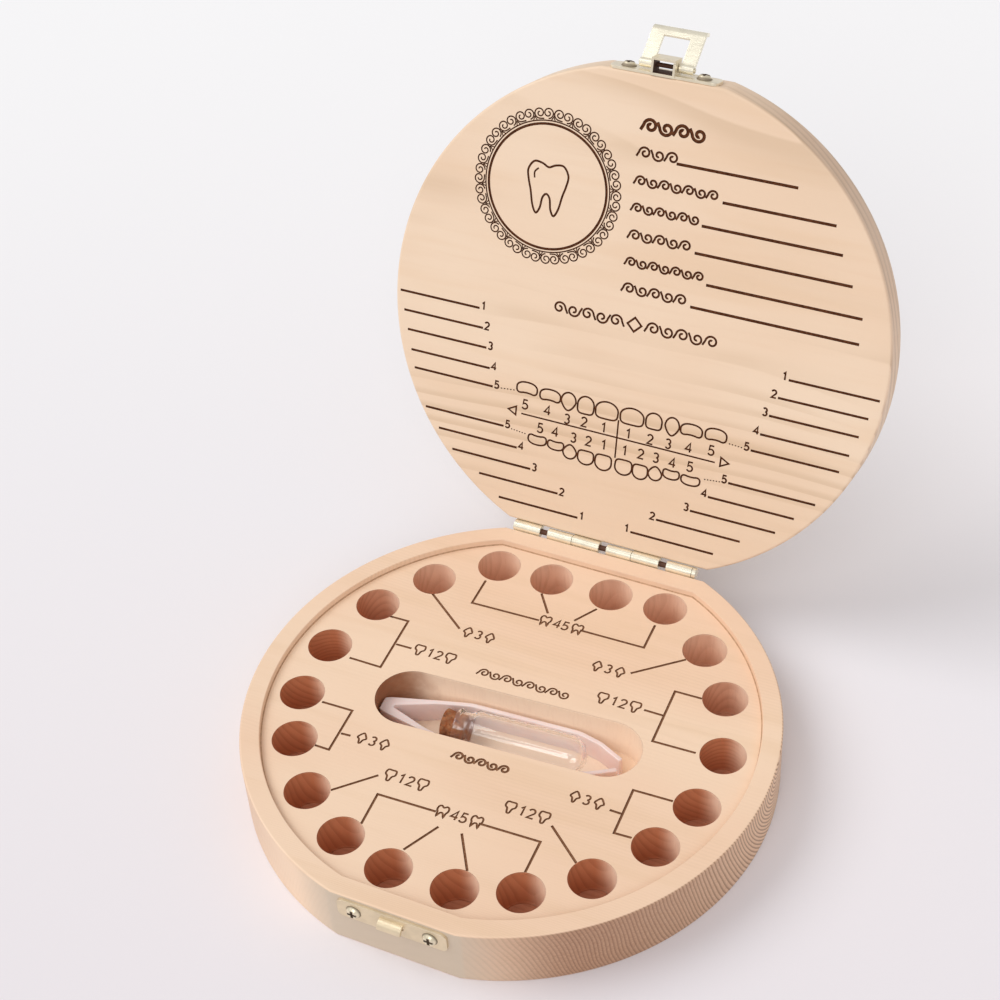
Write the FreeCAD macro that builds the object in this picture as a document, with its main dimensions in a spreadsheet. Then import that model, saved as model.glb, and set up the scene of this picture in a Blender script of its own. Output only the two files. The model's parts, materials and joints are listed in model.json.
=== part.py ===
"""Round wooden milk-tooth keepsake box, modelled standing open.

Millimetres, +Z up. The origin is the centre of the base's underside, -Y is the
latch side and +Y the hinge side. Pieces of the lid are built in the closed
position and then swung open about the hinge axis.
"""

import FreeCAD, Part
import math
import os
import re

import Sketcher

Vector = FreeCAD.Vector
Rotation = FreeCAD.Rotation
Placement = FreeCAD.Placement

X_AXIS = Vector(1, 0, 0)
Y_AXIS = Vector(0, 1, 0)
Z_AXIS = Vector(0, 0, 1)

# Driving dimensions: name, value in millimetres or degrees, what it is.
SIZES = [
    ("outer_radius", 60.0, "round outline of base and lid"),
    ("front_cut", 1.7, "depth of the flat that carries the latch"),
    ("back_cut", 5.7, "depth of the flat that carries the hinge"),
    ("base_height", 15.0, "thickness of the base block"),
    ("lid_thickness", 8.0, "thickness of the lid panel"),
    ("seam_gap", 0.2, "gap between rim and lid when shut"),
    ("base_edge_round", 0.4, "eased edges of the base"),
    ("lid_edge_round", 0.6, "eased edges of the lid"),
    ("rim_width", 4.5, "raised rim around the recessed floor"),
    ("recess_depth", 1.6, "floor below the rim"),
    ("lid_open_angle", 108.5, "lid swung back on to the hinge stops"),
    # tooth holes
    ("hole_radius", 5.0, "blind hole for one tooth"),
    ("hole_depth", 10.0, "depth of a tooth hole below the floor"),
    ("ring_inset", 12.1, "outside to the circle of the holes at the sides and front"),
    ("ring_turn", 1.5, "turn of the drilled pattern against the flats"),
    ("back_row_inset", 11.0, "hinge flat to the straight row of four holes"),
    ("back_inner_x", 7.5, "inner pair of the back row"),
    ("back_outer_x", 21.0, "outer pair of the back row"),
    ("hole_angle_1", 45.0, "first pair on the circle, from +X"),
    ("hole_angle_2", 26.5, "second pair"),
    ("hole_angle_3", 6.7, "third pair"),
    ("hole_angle_4", -11.8, "fourth pair"),
    ("hole_angle_5", -28.2, "fifth pair"),
    ("hole_angle_6", -46.7, "sixth pair"),
    ("hole_angle_7", -64.6, "seventh pair"),
    ("hole_angle_8", -81.0, "eighth pair"),
    # long pocket
    ("slot_length", 62.3, "end to end"),
    ("slot_width", 15.7, "across, and the diameter of its ends"),
    ("slot_depth", 10.8, "below the floor"),
    ("slot_centre_y", -1.95, "offset from the centre of the base"),
    ("slot_turn", 3.2, "turn of the pocket against the flats"),
    # hinge
    ("knuckle_window", 2.0, "open window beside each lid knuckle"),
    ("knuckle_joint", 0.12, "running gap at the other end of a knuckle"),
    ("lid_knuckle", 6.9, "length of a lid knuckle"),
    ("hinge_length", 47.4, "length of both leaves"),
    ("hinge_end", 1.5, "end of the leaves beyond the last knuckle"),
    ("leaf_thickness", 0.7, "hinge sheet"),
    ("leaf_height", 6.2, "hinge axis to the far edge of a leaf"),
    ("leaf_clear", 1.8, "hinge axis to the near edge between knuckles"),
    ("barrel_radius", 1.35, "outside of the knuckles"),
    ("barrel_standoff", 1.5, "back flat to the hinge axis"),
    ("hinge_pin_radius", 0.65, "hinge pin"),
    ("running_fit", 0.05, "radial clearance of a pin in its bore"),
    ("pin_head", 0.9, "length of the peened end of the hinge pin"),
    ("stop_width", 3.0, "width of a stop lug"),
    ("stop_reach", 2.6, "how far a stop lug reaches along the open lid leaf"),
    ("stop_thickness", 0.8, "thickness of a stop lug"),
    ("stop_gap", 0.1, "stop lug to the open lid leaf"),
    ("stop_start", 1.9, "where the lug's face starts, from the hinge axis"),
    # screws
    ("plate_screw_head", 1.75, "radius of a latch screw's head"),
    ("plate_screw_dome", 0.9, "height of a latch screw's head"),
    ("plate_screw_shank", 0.9, "radius of a latch screw's shank"),
    ("plate_screw_length", 4.5, "shank below the plate"),
    ("plate_screw_spacing", 17.4, "between the two screws of a plate"),
    ("leaf_screw_head", 1.3, "radius of a hinge screw's head"),
    ("leaf_screw_dome", 0.6, "height of a hinge screw's head"),
    ("leaf_screw_shank", 0.6, "radius of a hinge screw's shank"),
    ("leaf_screw_length", 3.6, "shank below the leaf"),
    ("leaf_screw_drop", 4.2, "hinge axis to the row of hinge screws"),
    ("leaf_screw_margin", 4.2, "end of a leaf to its first screw"),
    ("pilot_fit", 0.05, "radial clearance of a shank in its hole"),
    ("cross_slot_width", 0.5, "arm of the cross in a screw head"),
    ("cross_slot_depth", 0.45, "depth of that cross"),
    # latch on the lid and catch on the base
    ("plate_width", 25.0, "latch plate and catch plate, along X"),
    ("plate_height", 5.2, "latch plate and catch plate, along Z"),
    ("plate_thickness", 0.6, "sheet of both plates"),
    ("plate_corner", 1.4, "corner radius of both plates"),
    ("latch_margin", 0.2, "seam to the near edge of the latch plate"),
    ("catch_drop", 3.5, "top of the base to the middle of the catch plate"),
    ("bracket_width", 5.5, "outside of the pivot bracket, along X"),
    ("bracket_reach", 3.9, "pivot bracket out from the front flat"),
    ("bracket_length", 4.2, "pivot bracket along Z"),
    ("bracket_wall", 0.5, "sheet of the pivot bracket"),
    ("pivot_standoff", 1.9, "front flat to the hasp's pivot"),
    ("latch_pin_radius", 0.5, "pin of the hasp"),
    ("latch_pin_length", 13.0, "length of that pin"),
    ("latch_pin_end_round", 0.2, "rounded ends of that pin"),
    ("hasp_open_angle", 132.0, "hasp flipped up from its shut position"),
    ("hasp_half_width", 6.2, "half the width of the hasp"),
    ("hasp_thickness", 0.7, "sheet of the hasp"),
    ("hasp_leg", 3.1, "width of a leg"),
    ("hasp_eye_radius", 1.0, "rolled eye at the foot of a leg"),
    ("hasp_side_gap", 0.2, "bracket to eye"),
    ("hasp_window_end", 7.2, "pivot to the far end of the window"),
    ("hasp_bar", 1.1, "bar between window and finger lip"),
    ("lip_bend", 1.2, "inner bend radius of the finger lip"),
    ("hook_width", 5.4, "punched hook of the catch, along X"),
    ("hook_bend", 1.0, "inner bend radius of the hook"),
    ("hook_thickness", 0.7, "sheet of the hook"),
    ("hook_gap", 0.15, "shut hasp bar to the hook's tip"),
    # small bottle with a cork
    ("rest_gap", 0.2, "round pieces above the pocket floor"),
    ("bottle_radius", 4.8, "outside of the glass body"),
    ("bottle_wall", 0.9, "glass thickness"),
    ("bottle_mouth_gap", 18.3, "closed end of the tweezers to the mouth"),
    ("bottle_end_gap", 7.9, "closed end of the bottle to the tips"),
    ("bottle_lip", 1.1, "length of the lip"),
    ("bottle_lip_radius", 4.25, "outside of the lip"),
    ("bottle_neck", 2.7, "mouth to the shoulder"),
    ("bottle_neck_radius", 3.9, "outside of the neck"),
    ("bottle_shoulder", 2.0, "length of the shoulder"),
    ("bottle_end_round", 4.6, "rounding of the closed end"),
    ("cork_length", 5.8, "cork, end to end"),
    ("cork_outside", 3.0, "length that shows outside the mouth"),
    ("cork_big_radius", 3.5, "outer end of the cork"),
    ("cork_small_radius", 3.02, "inner end of the cork"),
    ("cork_edge_round", 0.3, "worn outer edge of the cork"),
    # tweezers
    ("tweezers_back_gap", 0.55, "end of the pocket to the closed end"),
    ("tweezers_tip_gap", 4.75, "tips to the other end of the pocket"),
    ("tweezers_height", 6.4, "width of the arms, which stand on edge"),
    ("tweezers_gap", 0.1, "arms above the pocket floor"),
    ("arm_thickness", 1.1, "thickness of an arm"),
    ("arm_root", 3.0, "closed end to where the arms part"),
    ("arm_root_y", 0.3, "half width of the gap between the arms there"),
    ("arm_back_y", 2.3, "half width across the closed end"),
    ("arm_corner", 1.2, "cut corner of the closed end"),
    ("arm_knee", 12.0, "closed end to the first bend of an arm"),
    ("arm_knee_y", 5.45, "outside of an arm at that bend"),
    ("arm_belly", 18.6, "closed end to the start of the straight stretch"),
    ("arm_belly_y", 6.75, "outside of an arm along that stretch"),
    ("arm_turn", 11.4, "end of the straight stretch to the tips"),
    ("arm_shoulder", 5.8, "last bend of an arm to the tips"),
    ("arm_shoulder_y", 5.0, "outside of an arm at that bend"),
    ("arm_tip_y", 1.9, "outside of an arm at its tip"),
    ("arm_bend_round", 6.0, "rounding of the bends of an arm"),
    ("arm_end_round", 0.5, "rounding of the ends of the tweezers"),
]

RING_PAIRS = 8
KNUCKLES = 3
LEAF_SCREWS = 4

size = {name: value for name, value, note in SIZES}
document = FreeCAD.newDocument("tooth_box")
sheet = document.addObject("Spreadsheet::Sheet", "sizes")
nodes = []


def fill_sheet():
    """Write the driving dimensions into the sheet, one per row."""
    for row, (name, value, note) in enumerate(SIZES, start=1):
        sheet.set(f"A{row}", name)
        sheet.set(f"B{row}", str(value))
        sheet.set(f"C{row}", note)
        sheet.setAlias(f"B{row}", name)
    document.recompute()


def filled(text, fill):
    """Replace every size's name in an expression."""
    def swap(match):
        word = match.group(0)
        return fill(word) if word in size else word
    return re.sub(r"[a-z_][a-z_0-9]*", swap, str(text))


def bound(text):
    """Expression that reads its sizes from the sheet."""
    return filled(text, lambda word: "sizes." + word)


def value_of(text):
    """Present value of an expression of sizes."""
    return FreeCAD.Units.Quantity(filled(text, lambda word: f"({size[word]})")).Value


def bind(item, **expressions):
    """Bind properties to expressions of sizes; Base_x means Placement.Base.x."""
    for name, text in expressions.items():
        path = name.replace("Base_", "Placement.Base.")
        item.setExpression(path, bound(text))


def node(item, label, placement=None):
    """Name a finished piece and put it in its place."""
    item.Label = label
    if placement is not None:
        item.Placement = placement
    nodes.append(item)
    return item


# ---------------------------------------------------------------- shared places

FRONT_FLAT = "(outer_radius - front_cut)"
BACK_FLAT = "(outer_radius - back_cut)"
FRONT_HEAD_Y = f"-{FRONT_FLAT} - plate_thickness"
BACK_HEAD_Y = f"{BACK_FLAT} + leaf_thickness"
LID_BOTTOM = "base_height + seam_gap"
HINGE_Y = f"{BACK_FLAT} + barrel_standoff"
HINGE_Z = "base_height + seam_gap / 2"
HINGE_PITCH = f"(hinge_length - hinge_end) / {KNUCKLES}"
LEAF_SCREW_SPACING = f"(hinge_length - leaf_screw_margin * 2) / {LEAF_SCREWS - 1}"
PIVOT_Y = f"-{FRONT_FLAT} - pivot_standoff"
PIVOT_Z = f"{LID_BOTTOM} + latch_margin + plate_height / 2"
CATCH_Z = "base_height - catch_drop"
FLOOR_Z = "base_height - recess_depth"
SLOT_FLOOR = f"{FLOOR_Z} - slot_depth"
TWEEZERS_BACK = "tweezers_back_gap - slot_length / 2"
TWEEZERS_TIP = "slot_length / 2 - tweezers_tip_gap"
BOTTLE_MOUTH = f"{TWEEZERS_BACK} + bottle_mouth_gap"
BOTTLE_END = f"{TWEEZERS_TIP} - bottle_end_gap"


# ---------------------------------------------------------------- primitives

def box(name, length, width, height, x, y, z):
    """Box from its low corner, each value an expression."""
    item = document.addObject("Part::Box", name)
    bind(item, Length=length, Width=width, Height=height)
    bind(item, Base_x=x, Base_y=y, Base_z=z)
    return item


def rod(name, radius, length, axis, x, y, z):
    """Cylinder from one end along an axis."""
    item = document.addObject("Part::Cylinder", name)
    item.Placement.Rotation = Rotation(Z_AXIS, axis)
    bind(item, Radius=radius, Height=length)
    bind(item, Base_x=x, Base_y=y, Base_z=z)
    return item


def cone(name, radius_1, radius_2, length, axis, x, y, z):
    """Cone from one end along an axis."""
    item = document.addObject("Part::Cone", name)
    item.Placement.Rotation = Rotation(Z_AXIS, axis)
    bind(item, Radius1=radius_1, Radius2=radius_2, Height=length)
    bind(item, Base_x=x, Base_y=y, Base_z=z)
    return item


def fuse(name, items):
    item = document.addObject("Part::MultiFuse", name)
    item.Shapes = items
    item.Refine = True
    return item


def cut(name, base, tools):
    """Take one tool, or several fused ones, away from a base."""
    tool = tools[0] if len(tools) == 1 else fuse(name + "_tools", tools)
    item = document.addObject("Part::Cut", name)
    item.Base = base
    item.Tool = tool
    return item


def common(name, base, tool):
    item = document.addObject("Part::Common", name)
    item.Base = base
    item.Tool = tool
    return item


def rounded(name, base, radius, wanted):
    """Round the edges of a base that the test picks."""
    document.recompute()
    item = document.addObject("Part::Fillet", name)
    item.Base = base
    edges = enumerate(base.Shape.Edges, start=1)
    item.Edges = [(number, radius, radius) for number, edge in edges if wanted(edge)]
    return item


def along_y(edge):
    bounds = edge.BoundBox
    return bounds.YLength > 1e-3 and bounds.XLength < 1e-3 and bounds.ZLength < 1e-3


# ---------------------------------------------------------------- sketches

def sketch(body, name, plane="XY_Plane", offset="0", turn="0"):
    """Sketch on an origin plane of the body, lifted along its normal."""
    item = body.newObject("Sketcher::SketchObject", name)
    origin = [entry for entry in body.Origin.OriginFeatures if entry.Role == plane]
    item.AttachmentSupport = (origin[0], [""])
    item.MapMode = "FlatFace"
    item.setExpression("AttachmentOffset.Base.z", bound(offset))
    item.setExpression("AttachmentOffset.Rotation.Angle", bound(turn))
    return item


def constrain(target, kind, parts, start, name, text):
    """Add a named dimension to a sketch and bind it."""
    index = target.addConstraint(Sketcher.Constraint(kind, *parts, start))
    target.renameConstraint(index, name)
    target.setExpression("Constraints." + name, bound(text))


def circle(target, number, start, x, y, radius):
    """Circle whose start values are near its bound place."""
    shape = Part.Circle(Vector(start[0], start[1], 0), Z_AXIS, start[2])
    index = target.addGeometry(shape, False)
    constrain(target, "Radius", (index,), start[2], f"radius_{number}", radius)
    constrain(target, "DistanceX", (-1, 1, index, 3), start[0], f"x_{number}", x)
    constrain(target, "DistanceY", (-1, 1, index, 3), start[1], f"y_{number}", y)


def polygon(target, corners):
    """Closed outline through corners, each a name and two expressions."""
    count = len(corners)
    points = [Vector(value_of(x), value_of(y), 0) for name, x, y in corners]
    for index in range(count):
        side = Part.LineSegment(points[index], points[(index + 1) % count])
        target.addGeometry(side, False)
    for index in range(count):
        joint = Sketcher.Constraint("Coincident", index, 2, (index + 1) % count, 1)
        target.addConstraint(joint)
    for index, (name, x, y) in enumerate(corners):
        at = points[index]
        constrain(target, "DistanceX", (-1, 1, index, 1), at.x, name + "_x", x)
        constrain(target, "DistanceY", (-1, 1, index, 1), at.y, name + "_y", y)


def outline(target, inset):
    """Circle cut by the front and back flats, moved in by an inset."""
    inner = 0.0 if inset == "0" else size[inset]
    radius = size["outer_radius"] - inner
    front = value_of(FRONT_FLAT) - inner
    back = value_of(BACK_FLAT) - inner
    low = -math.asin(front / radius)
    high = math.asin(back / radius)
    ring = Part.Circle(Vector(0, 0, 0), Z_AXIS, radius)
    right = target.addGeometry(Part.ArcOfCircle(ring, low, high), False)
    left = target.addGeometry(Part.ArcOfCircle(ring, math.pi - high, math.pi - low), False)
    x_back = radius * math.cos(high)
    x_front = radius * math.cos(low)
    back_line = Part.LineSegment(Vector(x_back, back, 0), Vector(-x_back, back, 0))
    front_line = Part.LineSegment(Vector(-x_front, -front, 0), Vector(x_front, -front, 0))
    back_edge = target.addGeometry(back_line, False)
    front_edge = target.addGeometry(front_line, False)
    joints = [(right, 2, back_edge, 1), (back_edge, 2, left, 1),
              (left, 2, front_edge, 1), (front_edge, 2, right, 1),
              (right, 3, -1, 1), (left, 3, -1, 1)]
    for joint in joints:
        target.addConstraint(Sketcher.Constraint("Coincident", *joint))
    target.addConstraint(Sketcher.Constraint("Equal", right, left))
    target.addConstraint(Sketcher.Constraint("Horizontal", back_edge))
    target.addConstraint(Sketcher.Constraint("Horizontal", front_edge))
    constrain(target, "Radius", (right,), radius, "ring", f"outer_radius - {inset}")
    constrain(target, "DistanceY", (-1, 1, back_edge, 1), back, "back",
              f"{BACK_FLAT} - {inset}")
    constrain(target, "DistanceY", (-1, 1, front_edge, 1), -front, "front",
              f"{inset} - {FRONT_FLAT}")


def pad(body, name, profile, length):
    item = body.newObject("PartDesign::Pad", name)
    item.Profile = profile
    bind(item, Length=length)
    return item


def pocket(body, name, profile, length, backwards=False):
    item = body.newObject("PartDesign::Pocket", name)
    item.Profile = profile
    item.Reversed = backwards
    bind(item, Length=length)
    return item


def ease(body, name, base, radius, wanted):
    """Round edges of the body's last feature."""
    document.recompute()
    item = body.newObject("PartDesign::Fillet", name)
    edges = enumerate(base.Shape.Edges, start=1)
    names = [f"Edge{number}" for number, edge in edges if wanted(edge)]
    item.Base = (base, names)
    bind(item, Radius=radius)
    return item


def level(edge):
    return edge.BoundBox.ZLength < 1e-6


# ---------------------------------------------------------------- placements

def hinge_axis():
    return Vector(0, value_of(HINGE_Y), value_of(HINGE_Z))


def pivot_axis():
    return Vector(0, value_of(PIVOT_Y), value_of(PIVOT_Z))


def turned(angle, centre, axis=X_AXIS):
    """Placement that turns a piece about a line through a centre."""
    return Placement(Vector(0, 0, 0), Rotation(axis, angle), centre)


def open_lid():
    return turned(-size["lid_open_angle"], hinge_axis())


def in_slot():
    """Frame of the long pocket: x along it, y across it."""
    centre = Vector(0, size["slot_centre_y"], 0)
    return Placement(centre, Rotation(Z_AXIS, size["slot_turn"]))


def screw_row(count, spacing):
    """X expressions of a centred row of screws."""
    first = (1 - count) / 2
    return [f"{spacing} * {first + number}" for number in range(count)]


# ---------------------------------------------------------------- wood

def pilot_holes(body, name, face, row, spacing, height, kind, backwards):
    """Row of screw holes into a flat face, given by its distance along -Y."""
    drawing = sketch(body, name + "_sketch", "XZ_Plane", face)
    radius = f"{kind}_shank + pilot_fit"
    for number, x in enumerate(screw_row(row, spacing)):
        start = (value_of(x), value_of(height), value_of(radius))
        circle(drawing, number, start, x, height, radius)
    return pocket(body, name, drawing, f"{kind}_length + pilot_fit", backwards)


def panel_holes(body, leaf_height, plate_height):
    """Pilot holes for one hinge leaf and one latch plate."""
    pilot_holes(body, body.Name + "_hinge_pilots", f"-{BACK_FLAT}", LEAF_SCREWS,
                LEAF_SCREW_SPACING, leaf_height, "leaf_screw", True)
    pilot_holes(body, body.Name + "_latch_pilots", FRONT_FLAT, 2,
                "plate_screw_spacing", plate_height, "plate_screw", False)


def tooth_hole_places():
    """Every tooth hole as (start x, start y, x, y)."""
    places = []
    row_y = f"{BACK_FLAT} - back_row_inset"
    ring_radius = "(outer_radius - ring_inset)"
    for side in (1, -1):
        for column in ("back_inner_x", "back_outer_x"):
            x = f"{column} * {side}"
            places.append((value_of(x), value_of(row_y), x, row_y))
        for pair in range(1, RING_PAIRS + 1):
            angle = f"hole_angle_{pair}"
            radians = math.radians(size[angle])
            start_x = side * value_of(ring_radius) * math.cos(radians)
            start_y = value_of(ring_radius) * math.sin(radians)
            places.append((start_x, start_y, f"{ring_radius} * cos({angle}) * {side}",
                           f"{ring_radius} * sin({angle})"))
    return places


def make_base_block():
    body = document.addObject("PartDesign::Body", "base_block")
    drawing = sketch(body, "base_outline")
    outline(drawing, "0")
    block = pad(body, "base_pad", drawing, "base_height")
    ease(body, "base_eased", block, "base_edge_round", level)
    drawing = sketch(body, "recess_outline", offset="base_height")
    outline(drawing, "rim_width")
    pocket(body, "recess", drawing, "recess_depth")
    drawing = sketch(body, "tooth_circles", offset=FLOOR_Z, turn="ring_turn")
    for number, (start_x, start_y, x, y) in enumerate(tooth_hole_places()):
        start = (start_x, start_y, size["hole_radius"])
        circle(drawing, number, start, x, y, "hole_radius")
    pocket(body, "tooth_holes", drawing, "hole_depth")
    cut_slot(body)
    panel_holes(body, f"{HINGE_Z} - leaf_screw_drop", CATCH_Z)
    node(body, "base_block")


def cut_slot(body):
    """Round-ended pocket for the bottle and the tweezers."""
    drawing = sketch(body, "slot_outline", offset=FLOOR_Z, turn="slot_turn")
    drawing.setExpression("AttachmentOffset.Base.y", bound("slot_centre_y"))
    half = (size["slot_length"] - size["slot_width"]) / 2
    radius = size["slot_width"] / 2
    up = math.pi / 2
    right_ring = Part.Circle(Vector(half, 0, 0), Z_AXIS, radius)
    left_ring = Part.Circle(Vector(-half, 0, 0), Z_AXIS, radius)
    right = drawing.addGeometry(Part.ArcOfCircle(right_ring, -up, up), False)
    left = drawing.addGeometry(Part.ArcOfCircle(left_ring, up, 3 * up), False)
    far_line = Part.LineSegment(Vector(half, radius, 0), Vector(-half, radius, 0))
    near_line = Part.LineSegment(Vector(-half, -radius, 0), Vector(half, -radius, 0))
    far = drawing.addGeometry(far_line, False)
    near = drawing.addGeometry(near_line, False)
    for joint in [(right, 2, far, 1), (far, 2, left, 1), (left, 2, near, 1), (near, 2, right, 1)]:
        drawing.addConstraint(Sketcher.Constraint("Tangent", *joint))
    drawing.addConstraint(Sketcher.Constraint("Horizontal", far))
    constrain(drawing, "Radius", (right,), radius, "end", "slot_width / 2")
    for name, arc, sign in (("right", right, 1), ("left", left, -1)):
        reach = f"( slot_length - slot_width ) / 2 * {sign}"
        constrain(drawing, "DistanceX", (-1, 1, arc, 3), sign * half, name, reach)
    drawing.addConstraint(Sketcher.Constraint("PointOnObject", right, 3, -1))
    return pocket(body, "slot", drawing, "slot_depth")


def make_lid_panel():
    body = document.addObject("PartDesign::Body", "lid_panel")
    drawing = sketch(body, "lid_outline", offset=LID_BOTTOM)
    outline(drawing, "0")
    block = pad(body, "lid_pad", drawing, "lid_thickness")
    ease(body, "lid_eased", block, "lid_edge_round", level)
    panel_holes(body, f"{HINGE_Z} + leaf_screw_drop", PIVOT_Z)
    node(body, "lid_panel", open_lid())


# ---------------------------------------------------------------- hinge

def knuckle_starts():
    """X of each repeat of the hinge: where its lid knuckle begins."""
    return [f"hinge_length / -2 + {HINGE_PITCH} * {number}" for number in range(KNUCKLES)]


def knuckle(name, start, length):
    outer = rod(name + "_outer", "barrel_radius", length, X_AXIS, start, HINGE_Y, HINGE_Z)
    return outer


def leaf_tab(name, start, length, upward):
    """Strip that joins a knuckle to its leaf along the wood."""
    low = HINGE_Z if upward else f"{HINGE_Z} - leaf_clear"
    return box(name + "_tab", length, "leaf_thickness", "leaf_clear", start,
               f"{HINGE_Y} - barrel_radius", low)


def make_leaf(label, starts, length, upward, extras):
    """Hinge leaf with its knuckles, bore and screw holes."""
    parts = list(extras)
    low = f"{HINGE_Z} + leaf_clear" if upward else f"{HINGE_Z} - leaf_height"
    parts.append(box(label + "_sheet", "hinge_length", "leaf_thickness",
                     "leaf_height - leaf_clear", "hinge_length / -2", BACK_FLAT, low))
    for number, start in enumerate(starts):
        name = f"{label}_{number}"
        parts.append(knuckle(name, start, length))
        parts.append(leaf_tab(name, start, length, upward))
    solid = fuse(label + "_solid", parts)
    tools = [rod(label + "_bore", "hinge_pin_radius + running_fit",
                 "hinge_length + 2", X_AXIS, "hinge_length / -2 - 1", HINGE_Y, HINGE_Z)]
    sign = 1 if upward else -1
    row_z = f"{HINGE_Z} + leaf_screw_drop * {sign}"
    for number, x in enumerate(screw_row(LEAF_SCREWS, LEAF_SCREW_SPACING)):
        tools.append(rod(f"{label}_hole_{number}", "leaf_screw_shank + pilot_fit",
                         "leaf_thickness + 2", Y_AXIS, x, f"{BACK_FLAT} - 1", row_z))
    return cut(label, solid, tools)


def stop_lug(number, start, length):
    """Lug under a base knuckle that the open lid leaf comes to rest on."""
    # The open lid leaf's outer face, seen from the hinge axis.
    offset = size["barrel_standoff"] - size["leaf_thickness"] + size["stop_gap"]
    angle = math.radians(size["lid_open_angle"])
    across = Vector(0, math.sin(angle), math.cos(angle))
    below = Vector(0, math.cos(angle), -math.sin(angle))
    start_point = hinge_axis() + across * size["stop_start"] + below * offset
    start_point = start_point + below * size["stop_thickness"]
    face = document.addObject("Part::Box", f"stop_face_{number}")
    bind(face, Length="stop_width", Width="stop_reach", Height="stop_thickness")
    face.Placement.Rotation = Rotation(X_AXIS, 90 - size["lid_open_angle"])
    bind(face, Base_x=f"{start} + {length} / 2 - stop_width / 2")
    face.Placement.Base.y = start_point.y
    face.Placement.Base.z = start_point.z
    web = box(f"stop_web_{number}", "stop_width", "barrel_standoff + stop_start",
              "stop_thickness", f"{start} + {length} / 2 - stop_width / 2", BACK_FLAT,
              f"{HINGE_Z} - barrel_radius - stop_thickness")
    return [face, web]


def make_hinge():
    lid_starts = knuckle_starts()
    base_starts = [f"{start} + lid_knuckle + knuckle_window" for start in lid_starts]
    base_length = f"({HINGE_PITCH} - lid_knuckle - knuckle_window - knuckle_joint)"
    lugs = []
    for number, start in enumerate(base_starts):
        lugs.extend(stop_lug(number, start, base_length))
    base_leaf = make_leaf("hinge_base_leaf", base_starts, base_length, False, lugs)
    node(base_leaf, "hinge_base_leaf")
    lid_leaf = make_leaf("hinge_lid_leaf", lid_starts, "lid_knuckle", True, [])
    node(lid_leaf, "hinge_lid_leaf", open_lid())
    end = "hinge_length / 2 - hinge_end"
    shaft = rod("hinge_pin_shaft", "hinge_pin_radius", "hinge_length - hinge_end + pin_head / 2",
                X_AXIS, "hinge_length / -2", HINGE_Y, HINGE_Z)
    head = rod("hinge_pin_head", "barrel_radius", "pin_head", X_AXIS, end, HINGE_Y, HINGE_Z)
    node(fuse("hinge_pin", [shaft, head]), "hinge_pin")


# ---------------------------------------------------------------- screws

def dome_screw(name, kind, outward, x, y, z):
    """Dome-headed cross screw; y is where its head sits, outward is +1 or -1 along Y."""
    axis = Vector(0, outward, 0)
    inward = Vector(0, -outward, 0)
    head = cone(name + "_head", f"{kind}_head", f"{kind}_head * 0.62", f"{kind}_dome",
                axis, x, y, z)
    shank = rod(name + "_shank", f"{kind}_shank", f"{kind}_length + plate_thickness",
                inward, x, y, z)
    solid = fuse(name + "_solid", [head, shank])
    crown_y = value_of(f"{y} + {kind}_dome * {outward}")
    domed = rounded(name + "_domed", solid, size[f"{kind}_dome"] * 0.45,
                    lambda edge: is_crown(edge, crown_y))
    arm = f"{kind}_head * 1.1"
    depth_y = f"{y} + {kind}_dome * {outward} - cross_slot_depth"
    arms = [(arm, "cross_slot_width"), ("cross_slot_width", arm)]
    tools = []
    for number, (length, height) in enumerate(arms):
        tools.append(box(f"{name}_cross_{number}", length, "cross_slot_depth * 2", height,
                         f"{x} - {length} / 2", depth_y, f"{z} - {height} / 2"))
    return cut(name, domed, tools)


def is_crown(edge, y):
    bounds = edge.BoundBox
    return bounds.YLength < 1e-6 and abs(bounds.YMin - y) < 1e-6 and bounds.XLength > 0.5


def screw_group(label, kind, outward, row, spacing, y, z, placement=None):
    """Identical screws in one node."""
    screws = []
    for number, x in enumerate(screw_row(row, spacing)):
        screws.append(dome_screw(f"{label}_{number}", kind, outward, x, y, z))
    group = document.addObject("Part::Compound", label)
    group.Links = screws
    node(group, label, placement)


def make_screws():
    screw_group("hinge_base_screws", "leaf_screw", 1, LEAF_SCREWS, LEAF_SCREW_SPACING,
                BACK_HEAD_Y, f"{HINGE_Z} - leaf_screw_drop")
    screw_group("hinge_lid_screws", "leaf_screw", 1, LEAF_SCREWS, LEAF_SCREW_SPACING,
                BACK_HEAD_Y, f"{HINGE_Z} + leaf_screw_drop", open_lid())
    screw_group("catch_screws", "plate_screw", -1, 2, "plate_screw_spacing",
                FRONT_HEAD_Y, CATCH_Z)
    screw_group("latch_screws", "plate_screw", -1, 2, "plate_screw_spacing",
                FRONT_HEAD_Y, PIVOT_Z, open_lid())


# ---------------------------------------------------------------- latch

def plate(name, z):
    """Round-cornered plate on a front flat, centred at a height."""
    sheet_box = box(name + "_sheet", "plate_width", "plate_thickness", "plate_height",
                    "plate_width / -2", FRONT_HEAD_Y, f"{z} - plate_height / 2")
    return rounded(name + "_corners", sheet_box, size["plate_corner"], along_y)


def plate_holes(name, z):
    """Screw holes through a plate."""
    holes = []
    for number, x in enumerate(screw_row(2, "plate_screw_spacing")):
        holes.append(rod(f"{name}_hole_{number}", "plate_screw_shank + pilot_fit",
                         "plate_thickness + 2", Y_AXIS, x,
                         f"{FRONT_HEAD_Y} - 1", z))
    return holes


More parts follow.
